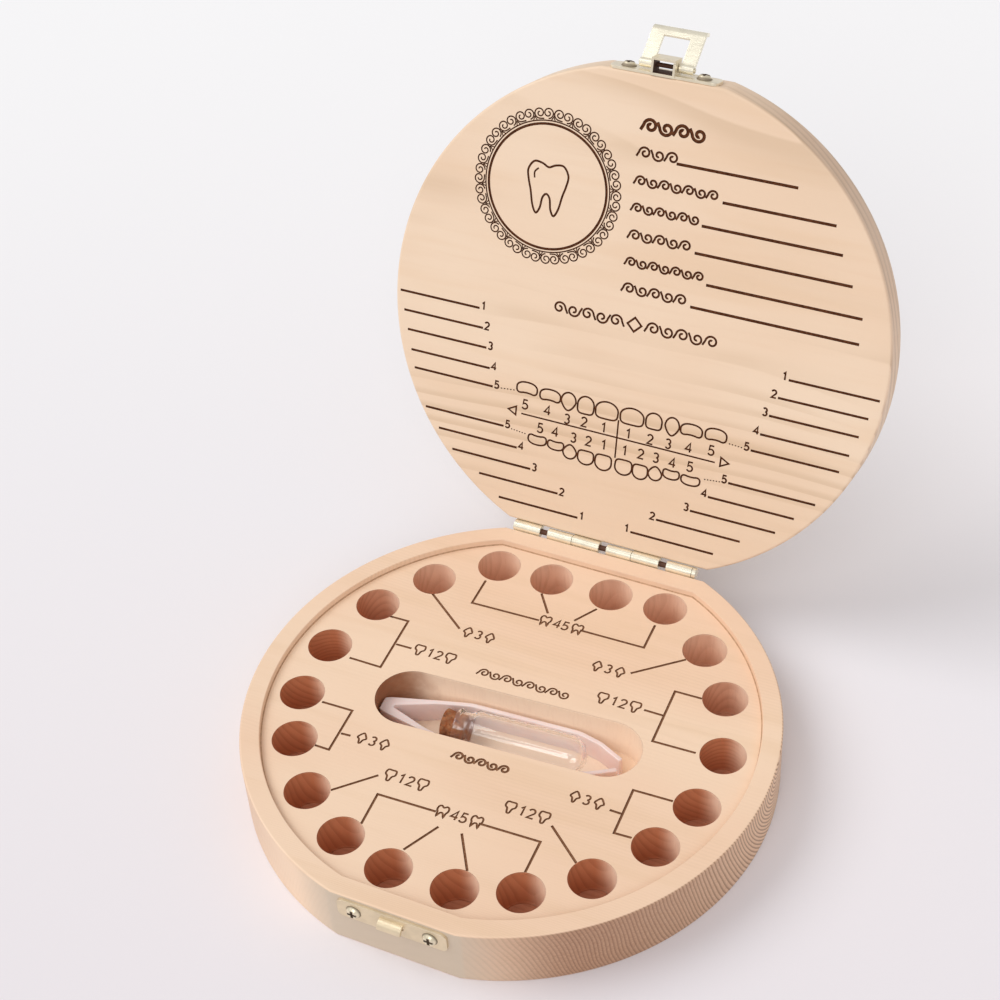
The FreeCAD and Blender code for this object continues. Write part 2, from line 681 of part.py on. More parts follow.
def make_catch_plate():
    """Plate on the base with a hook punched out of it."""
    hook_y = FRONT_HEAD_Y
    hook_z = f"{PIVOT_Z} - hasp_window_end + hook_gap"
    reach = "(hook_bend + hook_thickness)"
    outer = rod("hook_outer", reach, "hook_width", X_AXIS, "hook_width / -2", hook_y, hook_z)
    inner = rod("hook_inner", "hook_bend", "hook_width + 2", X_AXIS, "hook_width / -2 - 1",
                hook_y, hook_z)
    quarter = box("hook_quarter", "hook_width + 1", f"{reach} + 1", f"{reach} + 1",
                  "hook_width / -2 - 0.5", f"{hook_y} - {reach} - 1 + plate_thickness / 2", hook_z)
    hook = common("hook", cut("hook_ring", outer, [inner]), quarter)
    solid = fuse("catch_solid", [plate("catch", CATCH_Z), hook])
    slit = box("hook_slit", "hook_width", "plate_thickness + 2", "hook_bend * 0.8",
               "hook_width / -2", f"{hook_y} - 0.01", hook_z)
    node(cut("catch_plate", solid, plate_holes("catch", CATCH_Z) + [slit]), "catch_plate")


def make_latch_plate():
    """Plate on the lid with a box-shaped bracket for the hasp's pin."""
    outer = box("bracket_outer", "bracket_width", "bracket_reach", "bracket_length",
                "bracket_width / -2", f"-{FRONT_FLAT} - bracket_reach", LID_BOTTOM)
    inner = box("bracket_inner", "bracket_width - bracket_wall * 2",
                "bracket_reach - bracket_wall - plate_thickness", "bracket_length + 2",
                "bracket_width / -2 + bracket_wall",
                f"-{FRONT_FLAT} - bracket_reach + bracket_wall", f"{LID_BOTTOM} - 1")
    solid = fuse("latch_solid", [plate("latch", PIVOT_Z), outer])
    bore = rod("bracket_bore", "latch_pin_radius + running_fit", "bracket_width + 2", X_AXIS,
               "bracket_width / -2 - 1", PIVOT_Y, PIVOT_Z)
    tools = plate_holes("latch", PIVOT_Z) + [inner, bore]
    node(cut("latch_plate", solid, tools), "latch_plate", open_lid())
    shaft = rod("latch_pin_shaft", "latch_pin_radius", "latch_pin_length", X_AXIS,
                "latch_pin_length / -2", PIVOT_Y, PIVOT_Z)
    ends = rounded("latch_pin", shaft, size["latch_pin_end_round"], round_end)
    node(ends, "latch_pin", open_lid())


def round_end(edge):
    """Circle square to the X axis."""
    bounds = edge.BoundBox
    return bounds.XLength < 1e-6 and bounds.YLength > 1e-3


def make_hasp():
    """Frame that swings on the pin and drops over the catch's hook."""
    eye_length = "hasp_half_width - bracket_width / 2 - hasp_side_gap"
    near_face = f"{PIVOT_Y} - hasp_thickness / 2"
    parts = []
    for side, eye_x, leg_x in (("left", "-hasp_half_width", "-hasp_half_width"),
                               ("right", "bracket_width / 2 + hasp_side_gap",
                                "hasp_half_width - hasp_leg")):
        parts.append(rod(f"hasp_eye_{side}", "hasp_eye_radius", eye_length, X_AXIS,
                         eye_x, PIVOT_Y, PIVOT_Z))
        parts.append(box(f"hasp_leg_{side}", "hasp_leg", "hasp_thickness",
                         "hasp_window_end + hasp_bar", leg_x, near_face,
                         f"{PIVOT_Z} - hasp_window_end - hasp_bar"))
    parts.append(box("hasp_bar_box", "hasp_half_width * 2", "hasp_thickness", "hasp_bar",
                     "-hasp_half_width", near_face, f"{PIVOT_Z} - hasp_window_end - hasp_bar"))
    lip_y = f"{near_face} - lip_bend"
    lip_z = f"{PIVOT_Z} - hasp_window_end - hasp_bar"
    lip_reach = "(lip_bend + hasp_thickness)"
    outer = rod("lip_outer", lip_reach, "hasp_half_width * 2", X_AXIS, "-hasp_half_width",
                lip_y, lip_z)
    inner = rod("lip_inner", "lip_bend", "hasp_half_width * 2 + 2", X_AXIS,
                "-hasp_half_width - 1", lip_y, lip_z)
    quarter = box("lip_quarter", "hasp_half_width * 2 + 2", f"{lip_reach} + 1",
                  f"{lip_reach} + 1", "-hasp_half_width - 1", lip_y,
                  f"{lip_z} - {lip_reach} - 1")
    parts.append(common("finger_lip", cut("lip_ring", outer, [inner]), quarter))
    solid = fuse("hasp_solid", parts)
    bore = rod("hasp_bore", "latch_pin_radius + running_fit", "hasp_half_width * 2 + 2", X_AXIS,
               "-hasp_half_width - 1", PIVOT_Y, PIVOT_Z)
    hasp = cut("latch_hasp", solid, [bore])
    flipped = turned(-size["hasp_open_angle"], pivot_axis())
    node(hasp, "latch_hasp", open_lid().multiply(flipped))


# ---------------------------------------------------------------- pocket contents

def turned_piece(label, corners, rounds):
    """Body turned about the bottle's axis; rounds are (place, radius there, rounding)."""
    body = document.addObject("PartDesign::Body", label)
    drawing = sketch(body, label + "_profile", "XZ_Plane")
    polygon(drawing, corners)
    last = body.newObject("PartDesign::Revolution", label + "_turned")
    last.Profile = drawing
    last.ReferenceAxis = (drawing, ["H_Axis"])
    last.Angle = 360
    for index, (x, radius, rounding) in enumerate(rounds):
        last = ease(body, f"{label}_round_{index}", last, rounding,
                    lambda edge: is_ring(edge, value_of(x), value_of(radius)))
    axis_height = value_of(f"{SLOT_FLOOR} + rest_gap + bottle_radius")
    raised = Placement(Vector(0, 0, axis_height), Rotation())
    node(body, label, in_slot().multiply(raised))


def is_ring(edge, x, radius):
    """Circle about the X axis at one place along it."""
    bounds = edge.BoundBox
    flat = bounds.XLength < 1e-6 and abs(bounds.XMin - x) < 1e-6
    return flat and abs(bounds.ZMax - radius) < 1e-6


def make_bottle():
    """Glass bottle lying in the pocket, mouth towards the tweezers' closed end."""
    neck_end = f"{BOTTLE_MOUTH} + bottle_neck"
    lip_end = f"{BOTTLE_MOUTH} + bottle_lip"
    taper = "(cork_big_radius - cork_small_radius) / cork_length"
    mouth_bore = f"cork_big_radius - {taper} * cork_outside + running_fit"
    neck_bore = f"{mouth_bore} - {taper} * bottle_neck"
    floor = f"{BOTTLE_END} - bottle_wall"
    inner_radius = "bottle_radius - bottle_wall"
    corners = [
        ("mouth_in", f"{BOTTLE_MOUTH}", mouth_bore),
        ("mouth_out", f"{BOTTLE_MOUTH}", "bottle_lip_radius"),
        ("lip_out", lip_end, "bottle_lip_radius"),
        ("lip_foot", f"{lip_end} + bottle_lip_radius - bottle_neck_radius", "bottle_neck_radius"),
        ("neck_out", neck_end, "bottle_neck_radius"),
        ("body_out", f"{neck_end} + bottle_shoulder", "bottle_radius"),
        ("end_out", f"{BOTTLE_END}", "bottle_radius"),
        ("end_axis", f"{BOTTLE_END}", "0"),
        ("floor_axis", floor, "0"),
        ("floor_in", floor, inner_radius),
        ("body_in", f"{neck_end} + bottle_shoulder", inner_radius),
        ("neck_in", neck_end, neck_bore),
    ]
    turned_piece("vial_glass", corners, [
        (f"{BOTTLE_END}", "bottle_radius", "bottle_end_round"),
        (floor, inner_radius, "bottle_end_round - bottle_wall"),
    ])


def make_cork():
    """Tapered stopper, part of it inside the bottle's neck."""
    outer = f"{BOTTLE_MOUTH} - cork_outside"
    inner = f"{outer} + cork_length"
    corners = [
        ("outer_axis", outer, "0"),
        ("outer_rim", outer, "cork_big_radius"),
        ("inner_rim", inner, "cork_small_radius"),
        ("inner_axis", inner, "0"),
    ]
    turned_piece("vial_cork", corners, [(outer, "cork_big_radius", "cork_edge_round")])


def make_tweezers():
    """One folded strip standing on edge, its arms either side of the bottle."""
    body = document.addObject("PartDesign::Body", "tweezers")
    drawing = sketch(body, "tweezers_outline", offset=f"{SLOT_FLOOR} + tweezers_gap")
    root = f"{TWEEZERS_BACK} + arm_root"
    knee = f"{TWEEZERS_BACK} + arm_knee"
    belly = f"{TWEEZERS_BACK} + arm_belly"
    turn = f"{TWEEZERS_TIP} - arm_turn"
    shoulder = f"{TWEEZERS_TIP} - arm_shoulder"
    half = [
        ("back", TWEEZERS_BACK, "arm_back_y - arm_corner / 2"),
        ("corner", f"{TWEEZERS_BACK} + arm_corner", "arm_back_y"),
        ("knee", knee, "arm_knee_y"),
        ("belly", belly, "arm_belly_y"),
        ("turn", turn, "arm_belly_y"),
        ("shoulder", shoulder, "arm_shoulder_y"),
        ("tip", TWEEZERS_TIP, "arm_tip_y"),
        ("tip_in", TWEEZERS_TIP, "arm_tip_y - arm_thickness"),
        ("shoulder_in", shoulder, "arm_shoulder_y - arm_thickness"),
        ("turn_in", turn, "arm_belly_y - arm_thickness"),
        ("belly_in", belly, "arm_belly_y - arm_thickness"),
        ("knee_in", knee, "arm_knee_y - arm_thickness"),
        ("root", root, "arm_root_y"),
    ]
    far = [(name + "_far", x, y) for name, x, y in half]
    near = [(name + "_near", x, f"({y}) * -1") for name, x, y in reversed(half)]
    polygon(drawing, far + near)
    strip = pad(body, "tweezers_strip", drawing, "tweezers_height")
    first_bend = value_of(root) + 1
    last_bend = value_of(TWEEZERS_TIP) - 1
    bends = ease(body, "tweezers_bends", strip, "arm_bend_round",
                 lambda edge: upright(edge) and first_bend < edge.BoundBox.XMin < last_bend)
    ease(body, "tweezers_ends", bends, "arm_end_round",
         lambda edge: upright(edge) and edge.BoundBox.XMin < value_of(root) - 1)
    node(body, "tweezers", in_slot())


def upright(edge):
    bounds = edge.BoundBox
    return bounds.XLength < 1e-6 and bounds.YLength < 1e-6


# ---------------------------------------------------------------- build and write

def check():
    """Stop on any object that failed or any piece that isn't a valid shape."""
    for item in document.Objects:
        if "Invalid" in item.State or "Error" in item.State:
            raise RuntimeError(f"{item.Name} failed: {item.State}")
    for item in nodes:
        if item.Shape.isNull() or not item.Shape.isValid():
            raise RuntimeError(f"{item.Label} has no valid shape")


def write():
    os.makedirs("parts", exist_ok=True)
    for item in nodes:
        item.Shape.exportStep(os.path.join("parts", item.Label + ".step"))
        print(item.Label, "solids", len(item.Shape.Solids), "volume", round(item.Shape.Volume, 2))


fill_sheet()
make_base_block()
make_lid_panel()
make_hinge()
make_screws()
make_catch_plate()
make_latch_plate()
make_hasp()
make_bottle()
make_cork()
make_tweezers()
document.recompute()
check()
write()
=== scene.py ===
"""Looks of a round pine box for milk teeth, dressed around its construction model.

Lengths are in millimetres, and turn into metres when a mesh is made. The origin is the centre of
the base's underside, the front flat faces -Y and the hinge is at +Y.
The lid is drawn as it lies shut, and its object carries the turn of the open lid.
"""
import json
import math

import bmesh
import bpy
from mathutils import Matrix, Vector
from mathutils.geometry import delaunay_2d_cdt

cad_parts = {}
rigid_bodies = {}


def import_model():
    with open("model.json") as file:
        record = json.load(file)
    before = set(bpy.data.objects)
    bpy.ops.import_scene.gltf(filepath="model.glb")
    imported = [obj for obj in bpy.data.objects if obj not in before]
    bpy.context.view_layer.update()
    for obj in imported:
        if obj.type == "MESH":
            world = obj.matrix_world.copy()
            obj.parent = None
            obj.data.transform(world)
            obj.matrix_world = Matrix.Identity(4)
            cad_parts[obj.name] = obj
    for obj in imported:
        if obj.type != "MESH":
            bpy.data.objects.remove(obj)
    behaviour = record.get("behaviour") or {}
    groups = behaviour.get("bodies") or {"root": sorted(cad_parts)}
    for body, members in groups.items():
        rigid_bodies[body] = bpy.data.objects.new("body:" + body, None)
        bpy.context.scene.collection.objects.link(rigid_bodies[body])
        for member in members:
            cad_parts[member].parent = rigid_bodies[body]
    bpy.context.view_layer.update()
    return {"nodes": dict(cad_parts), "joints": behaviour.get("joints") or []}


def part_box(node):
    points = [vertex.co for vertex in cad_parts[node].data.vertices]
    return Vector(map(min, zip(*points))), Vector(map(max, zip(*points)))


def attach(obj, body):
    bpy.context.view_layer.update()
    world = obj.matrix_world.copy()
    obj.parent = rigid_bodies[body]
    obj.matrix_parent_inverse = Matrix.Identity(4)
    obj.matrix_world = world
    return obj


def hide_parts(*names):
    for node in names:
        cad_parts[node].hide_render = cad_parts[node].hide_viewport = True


MM = 0.001

for leftover in list(bpy.data.objects):
    bpy.data.objects.remove(leftover)
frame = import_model()


def corners(node):
    """Lowest and highest corner of a construction node, in millimetres."""
    low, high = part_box(node)
    return low / MM, high / MM


def joint(name):
    """The record of a joint."""
    return next(j for j in frame["joints"] if j["name"] == name)


# ---------------- sizes

BASE_LOW, BASE_HIGH = corners("base_block")
RADIUS = BASE_HIGH.x
FRONT_FLAT = BASE_LOW.y
BACK_FLAT = BASE_HIGH.y
BASE_TOP = BASE_HIGH.z
ARC_STEPS = 96
FLAT_STEPS = 6
EDGE_ROUND_STEPS = 4

BASE_EDGE = 0.4
LID_EDGE = 0.6
RIM_WIDTH = 4.5
RECESS_DEPTH = 1.6
RECESS_FLOOR = BASE_TOP - RECESS_DEPTH
RECESS_CORNER = 0.25
RECESS_LIP = 0.2
LID_THICKNESS = 8.0
LID_GAP = 0.2

HOLE_RADIUS = 5.0
HOLE_FLOOR = 3.4
HOLE_STEPS = 72
HOLE_CHAMFER = 0.12
HOLE_CORNER = 0.4
CORNER_MIDDLE = 0.3
PATTERN_TURN = math.radians(1.5)
BACK_ROW_Y = 43.3
BACK_ROW_X = (7.5, 21.0)
RING_RADIUS = 47.9
RING_ANGLES = (45.0, 26.5, 6.7, -11.8, -28.2, -46.7, -64.6, -81.0)

SLOT_LENGTH = 62.3
SLOT_WIDTH = 15.7
SLOT_CENTRE = Vector((0.0, -1.95))
SLOT_TURN = math.radians(3.2)
SLOT_FLOOR = 2.6
SLOT_CORNER = 0.8

GROOVE_DEPTH = 0.35
SLIVER = 1e-4
WELD = 1e-5
MEETING = 1e-4
MITRE_LIMIT = 0.5

# Material numbers. The lid has the first two, the base has them all. The last, CORNER, is painted
# shade at the foot of the recess.
PLAIN, BURNT, HOLE_WALL, SLOT_WALL, STEP, CORNER = range(6)


# ---------------- mesh helpers

class Shell:
    """Points and faces of one piece, in millimetres, with a material number for each face."""

    def __init__(self):
        self.points = []
        self.faces = []
        self.looks = []
        self.smooth = []

    def loop(self, flat_points, height):
        """Adds a ring of points at one height and returns their numbers."""
        start = len(self.points)
        self.points.extend((x, y, height) for x, y in flat_points)
        return list(range(start, len(self.points)))

    def face(self, numbers, look=PLAIN, smooth=False):
        """Adds a face round the numbered points."""
        self.faces.append(list(numbers))
        self.looks.append(look)
        self.smooth.append(smooth)

    def band(self, lower, upper, look=PLAIN, smooth=True):
        """Joins two closed rings of as many points."""
        count = len(lower)
        for i in range(count):
            after = (i + 1) % count
            self.face((lower[i], lower[after], upper[after], upper[i]), look, smooth)

    def walls(self, outline, levels, looks):
        """Bands through outlines at (inset, height) levels. Returns the first and last ring."""
        rings = [self.loop(outline(inset), height) for inset, height in levels]
        for ring, after, look in zip(rings, rings[1:], looks):
            self.band(ring, after, look)
        return rings[0], rings[-1]

    def flipped(self):
        """Turns every face over."""
        self.faces = [list(reversed(numbers)) for numbers in self.faces]

    def build(self, name, materials, place=None):
        """Makes the object, in metres."""
        mesh = bpy.data.meshes.new(name)
        mesh.from_pydata([[MM * c for c in point] for point in self.points], [], self.faces)
        for material in materials:
            mesh.materials.append(material)
        mesh.polygons.foreach_set("material_index", self.looks)
        mesh.polygons.foreach_set("use_smooth", self.smooth)
        mesh.update()
        piece = bpy.data.objects.new(name, mesh)
        bpy.context.scene.collection.objects.link(piece)
        if place is not None:
            piece.matrix_world = place
        return piece


def spaced(start, end, steps):
    """Evenly spaced values from start to end, both included."""
    return [start + (end - start) * i / steps for i in range(steps + 1)]


def polar(radius, angle):
    """The flat point at a radius and an angle in radians."""
    return radius * math.cos(angle), radius * math.sin(angle)


def turned(points, angle, shift=(0.0, 0.0)):
    """Flat points turned about the origin, then moved."""
    c, s = math.cos(angle), math.sin(angle)
    return [(c * x - s * y + shift[0], s * x + c * y + shift[1]) for x, y in points]


def mirrored(half):
    """A closed outline from its right half, whose ends may lie on the middle line."""
    return half + [(-x, y) for x, y in reversed(half) if x > 0]


def arc_points(centre, radius, start, end, steps):
    """Points of an arc, angles in degrees."""
    return [(centre[0] + radius * math.cos(math.radians(a)),
             centre[1] + radius * math.sin(math.radians(a))) for a in spaced(start, end, steps)]


def board_outline(inset):
    """The round outline with a flat at the front and one at the back, drawn in all round."""
    radius = RADIUS - inset
    front, back = FRONT_FLAT + inset, BACK_FLAT - inset
    arc = spaced(math.asin(front / radius), math.asin(back / radius), ARC_STEPS)
    right = [polar(radius, angle) for angle in arc]
    left = [(-x, y) for x, y in reversed(right)]
    back_side = [(x, back) for x in spaced(right[-1][0], left[0][0], FLAT_STEPS)[1:-1]]
    front_side = [(x, front) for x in spaced(left[-1][0], right[0][0], FLAT_STEPS)[1:-1]]
    return right + back_side + left + front_side


def ring_outline(radius, centre, steps=HOLE_STEPS):
    """A circle about a centre."""
    return [(centre[0] + x, centre[1] + y)
            for x, y in (polar(radius, math.tau * i / steps) for i in range(steps))]


def slot_outline(inset):
    """The round-ended pocket, in its place on the base."""
    reach = SLOT_LENGTH / 2 - SLOT_WIDTH / 2
    right = arc_points((reach, 0.0), SLOT_WIDTH / 2 - inset, -90, 90, HOLE_STEPS // 2)
    left = [(-x, -y) for x, y in right]
    return turned(right + left, SLOT_TURN, SLOT_CENTRE)


def rounded_corner():
    """Shares (inwards, upwards) of an edge's rounding, from its foot on the wall to its top."""
    return [(1 - math.cos(a), math.sin(a)) for a in spaced(0.0, math.pi / 2, EDGE_ROUND_STEPS)]


# ---------------- engraving

class Engraving:
    """Strokes to be sunk into a board's face, each one a chain of flat triangles."""

    def __init__(self):
        self.triangles = []

    def stroke(self, points, width, closed=False):
        """A line of even width with mitred bends."""
        points = [Vector(p) for p in points]
        count = len(points)
        sides = []
        for i, here in enumerate(points):
            before = points[i - 1] if i or closed else None
            after = points[(i + 1) % count] if i + 1 < count or closed else None
            arriving = (here - before).normalized() if before is not None else None
            leaving = (after - here).normalized() if after is not None else None
            first = arriving or leaving
            last = leaving or arriving
            tangent = (first + last).normalized()
            normal = Vector((-tangent.y, tangent.x))
            reach = width / 2 / max(MITRE_LIMIT, normal.dot(Vector((-first.y, first.x))))
            sides.append((here + normal * reach, here - normal * reach))
        pairs = list(zip(sides, sides[1:] + sides[:1] if closed else sides[1:]))
        for (left, right), (next_left, next_right) in pairs:
            self.add_triangle(left, right, next_right)
            self.add_triangle(left, next_right, next_left)

    def add_triangle(self, a, b, c):
        """Keeps a triangle, counter-clockwise, unless it is a sliver."""
        doubled_area = (b - a).cross(c - a)
        if abs(doubled_area) > SLIVER:
            self.triangles.append([a, b, c] if doubled_area > 0 else [a, c, b])


FULL_HULL = 0


def carved_face(shell, outer, holes, engraving, level):
    """Fills the face between an outer ring and hole rings, and sinks the strokes into it.

    Rings are lists of point numbers of the shell. The face looks up.
    """
    rings = [outer] + holes
    points = []
    polygons = []
    numbers = []
    for ring in rings:
        start = len(points)
        points.extend(shell.points[n][:2] for n in ring)
        numbers.extend(ring)
        polygons.append(counter_clockwise_numbers(points, range(start, len(points))))
    for triangle in engraving.triangles:
        start = len(points)
        points.extend(tuple(corner) for corner in triangle)
        polygons.append(list(range(start, len(points))))
    made = delaunay_2d_cdt([Vector(p) for p in points], [], polygons, FULL_HULL, WELD, True)
    vertices, _, triangles, sources, _, owners = made
    top = {i: numbers[source] for i, from_input in enumerate(sources)
           for source in from_input if source < len(numbers)}
    bottom = {}
    floor = level - GROOVE_DEPTH

    def number(i, known, height):
        if i not in known:
            known[i] = len(shell.points)
            shell.points.append((vertices[i].x, vertices[i].y, height))
        return known[i]

    # Edges of sunk triangles that have no sunk neighbour, in the order they are met.
    sunk_edges = {}
    for triangle, inside in zip(triangles, owners):
        inside = set(inside)
        if 0 not in inside or inside & set(range(1, len(rings))):
            continue
        if max(inside) < len(rings):
            shell.face([number(i, top, level) for i in triangle], PLAIN)
            continue
        shell.face([number(i, bottom, floor) for i in triangle], BURNT)
        for k in range(3):
            a, b = triangle[k], triangle[(k + 1) % 3]
            if (b, a) in sunk_edges:
                del sunk_edges[(b, a)]
            else:
                sunk_edges[(a, b)] = True
    for a, b in sunk_edges:
        shell.face((number(a, bottom, floor), number(b, bottom, floor),
                    number(b, top, level), number(a, top, level)), BURNT)


def counter_clockwise_numbers(points, numbers):
    """The numbers of a ring's points, in counter-clockwise order."""
    numbers = list(numbers)
    ring = [points[n] for n in numbers]
    area = sum(a[0] * b[1] - b[0] * a[1] for a, b in zip(ring, ring[1:] + ring[:1]))
    return numbers if area > 0 else list(reversed(numbers))


def smooth_curve(points, steps, closed=True):
    """A smooth curve through the points."""
    count = len(points)
    made = []
    for i in range(count if closed else count - 1):
        if closed:
            numbers = [(i + k) % count for k in (-1, 0, 1, 2)]
        else:
            numbers = [min(max(i + k, 0), count - 1) for k in (-1, 0, 1, 2)]
        four = [Vector(points[n]) for n in numbers]
        made += [tuple(curve_point(four, t / steps)) for t in range(steps)]
    return made if closed else made + [points[-1]]


def curve_point(p, t):
    """Catmull-Rom interpolation between the second and third of four points."""
    a = 2 * p[1]
    b = p[2] - p[0]
    c = 2 * p[0] - 5 * p[1] + 4 * p[2] - p[3]
    d = 3 * p[1] - 3 * p[2] + p[3] - p[0]
    return 0.5 * (a + b * t + c * t * t + d * t ** 3)


DIGITS = {
    1: [[(0.12, 0.78), (0.36, 1.0), (0.36, 0.0)]],
    2: [arc_points((0.30, 0.72), 0.28, 165, -35, 8) + [(0.03, 0.0), (0.62, 0.0)]],
    3: [arc_points((0.28, 0.75), 0.25, 150, -80, 8), arc_points((0.28, 0.27), 0.27, 80, -150, 9)],
    4: [[(0.48, 0.0), (0.48, 1.0), (0.02, 0.30), (0.66, 0.30)]],
    5: [[(0.56, 1.0), (0.14, 1.0), (0.08, 0.55)] + arc_points((0.27, 0.31), 0.31, 125, -150, 10)],
}
DIGIT_WIDTH = 0.62


def write_number(engraving, digit, centre, height, width, up=1.0, turn=0.0):
    """Engraves one digit about its centre. Up is -1 where the board's Y runs down the page."""
    for chain in DIGITS[digit]:
        placed = [((x - DIGIT_WIDTH / 2) * height, (y - 0.5) * height * up) for x, y in chain]
        engraving.stroke(turned(placed, turn, centre), width)


def volute(centre, radius, start, turns, direction, shrink, steps):
    """A spiral that winds inwards, from its outer radius to a share of it."""
    points = []
    for share in spaced(0.0, 1.0, steps):
        angle = start + direction * math.tau * turns * share
        reach = radius * (1 - share) + radius * shrink * share
        points.append((centre[0] + reach * math.cos(angle), centre[1] + reach * math.sin(angle)))
    return points


CURL_TURNS = 1.3
CURL_END = 0.2
CURL_STEPS = 22
CURL_SHARE = 0.44
LEAD_LENGTH = 0.6
LEAD_RISE = 0.7


def running_scroll(start, end, height, count, up=1.0):
    """Chains of points of a running wave of small spirals between two places."""
    (x0, y0), (x1, _) = start, end
    step = (x1 - x0) / count
    radius = min(height / 2, step * CURL_SHARE)
    chains = []
    for i in range(count):
        bend = (-1 if i % 2 == 0 else 1) * up
        middle = (x0 + step * (i + 0.5), y0)
        curl = volute(middle, radius, math.pi, CURL_TURNS, bend, CURL_END, CURL_STEPS)
        lead = (middle[0] - step * LEAD_LENGTH, y0 + bend * radius * LEAD_RISE)
        chains.append([lead] + curl)
    return chains


# ---------------- materials

def linear(red, green, blue):
    """A colour given in screen values, 0 to 255, as the linear values that shaders take."""
    def channel(value):
        share = value / 255
        return share / 12.92 if share <= 0.04045 else ((share + 0.055) / 1.055) ** 2.4
    return channel(red), channel(green), channel(blue), 1.0


class Number:
    """A node's number. Sums, differences, products and quotients of it are nodes too."""

    def __init__(self, look, socket):
        self.look = look
        self.socket = socket

    def __add__(self, other):
        return self.look.math("ADD", self, other)

    def __sub__(self, other):
        return self.look.math("SUBTRACT", self, other)

    def __rsub__(self, other):
        return self.look.math("SUBTRACT", other, self)

    def __mul__(self, other):
        return self.look.math("MULTIPLY", self, other)

    def __truediv__(self, other):
        return self.look.math("DIVIDE", self, other)


class Look:
    """A material and short ways to add nodes to it.

    Its place is the object coordinates in millimetres.
    """

    def __init__(self, name):
        self.material = bpy.data.materials.new(name)
        self.material.use_nodes = True
        self.tree = self.material.node_tree
        self.shader = self.tree.nodes["Principled BSDF"]
        metres = self.node("TexCoord").outputs["Object"]
        scaled = self.node("VectorMath", {0: metres, "Scale": 1 / MM}, operation="SCALE")
        self.place = scaled.outputs[0]

    def give(self, socket, value):
        """Links a node's output or sets a plain value. Three numbers of a colour are 0 to 255."""
        if isinstance(value, Number):
            value = value.socket
        if isinstance(value, bpy.types.NodeSocket):
            self.tree.links.new(value, socket)
        elif socket.type == "RGBA" and len(value) == 3:
            socket.default_value = linear(*value)
        else:
            socket.default_value = value

    def set_all(self, values):
        """Links or sets the shader's own sockets."""
        for socket, value in values.items():
            self.give(self.shader.inputs[socket], value)

    def node(self, kind, inputs=None, **settings):
        """Adds a node with its settings, and its inputs by name or number."""
        made = self.tree.nodes.new("ShaderNode" + kind)
        for setting, value in settings.items():
            setattr(made, setting, value)
        for socket, value in (inputs or {}).items():
            self.give(made.inputs[socket], value)
        return made

    def math(self, operation, a, b=0.0):
        return Number(self, self.node("Math", {0: a, 1: b}, operation=operation).outputs[0])

    def length(self, a, b):
        """The length of a flat vector from its two parts."""
        return self.math("SQRT", a * a + b * b)

    def vector_math(self, operation, a, b):
        return self.node("VectorMath", {0: a, 1: b}, operation=operation)

    def part(self, vector, axis):
        """One component of a vector."""
        return Number(self, self.node("SeparateXYZ", {0: vector}).outputs[axis])

    def normal_part(self, axis):
        """One component of the object-space normal."""
        return self.part(self.node("TexCoord").outputs["Normal"], axis)

    def along(self, axis, origin=(0.0, 0.0, 0.0)):
        """Distance along an axis from an origin, in millimetres."""
        offset = self.vector_math("SUBTRACT", self.place, origin).outputs[0]
        return Number(self, self.vector_math("DOT_PRODUCT", offset, axis).outputs["Value"])

    def noise(self, scale, detail=3.0, roughness=0.5, stretch=(1, 1, 1)):
        """Noise from 0 to 1, its scale in waves per millimetre along each axis."""
        placed = self.vector_math("MULTIPLY", self.place, stretch).outputs[0]
        made = self.node("TexNoise", {"Vector": placed, "Scale": scale, "Detail": detail,
                                      "Roughness": roughness})
        return Number(self, made.outputs["Fac"])

    def between(self, value, low, high):
        """The share of the way from low to high, eased, kept from 0 to 1."""
        made = self.node("MapRange", {"Value": value, "From Min": low, "From Max": high},
                         interpolation_type="SMOOTHSTEP")
        return Number(self, made.outputs["Result"])

    def within(self, value, low, high, blur=0.05):
        """1 between two values, 0 outside them."""
        return (self.between(value, low - blur, low + blur)
                * self.between(value, high + blur, high - blur))

    def mix(self, factor, first, second, blend="MIX"):
        """A blend of two colours."""
        made = self.node("Mix", {0: factor, 6: first, 7: second}, data_type="RGBA",
                         blend_type=blend)
        return made.outputs[2]

    def bump(self, height, depth, strength):
        """Bump from a height between 0 and 1, its depth in millimetres."""
        made = self.node("Bump", {"Strength": strength, "Distance": depth * MM, "Height": height})
        self.set_all({"Normal": made.outputs["Normal"]})
        return made


PITH = (10.0, 18.5)
PITCH = 0.98
CUT_PITCH = 1.25
CROWDING = 0.019
CROWDED_FROM = 42.0
LID_PITH = (-30.0, 90.0)
LID_PITCH = 2.6
RING_SWAY = 14.0
RING_WOBBLE = 0.6
LATE_RISE = (0.35, 0.86)
LATE_FALL = (1.0, 0.93)


def late_wood(look, pith, pitch, crowding=0.0):
    """The dark part of each growth ring, from 0 to 1.

    The rings lie round a pith that runs along X through a (Y, Z) place. The pitch is their width
    near the pith. Crowding makes them narrower farther out.
    """
    across = look.part(look.place, "Y") - pith[0]
    upward = look.part(look.place, "Z") - pith[1]
    distance = look.length(across, upward)
    sway = look.noise(0.012, detail=2.0, stretch=(0.45, 1.6, 1.6))
    wobble = look.noise(0.09, detail=2.0, stretch=(0.08, 1.0, 1.0))
    distance = distance + sway * RING_SWAY + wobble * RING_WOBBLE
    excess = look.math("MAXIMUM", distance - CROWDED_FROM, 0.0)
    share = look.math("FRACT", (distance + excess * excess * crowding) / pitch)
    return look.between(share, *LATE_RISE) * look.between(share, *LATE_FALL)


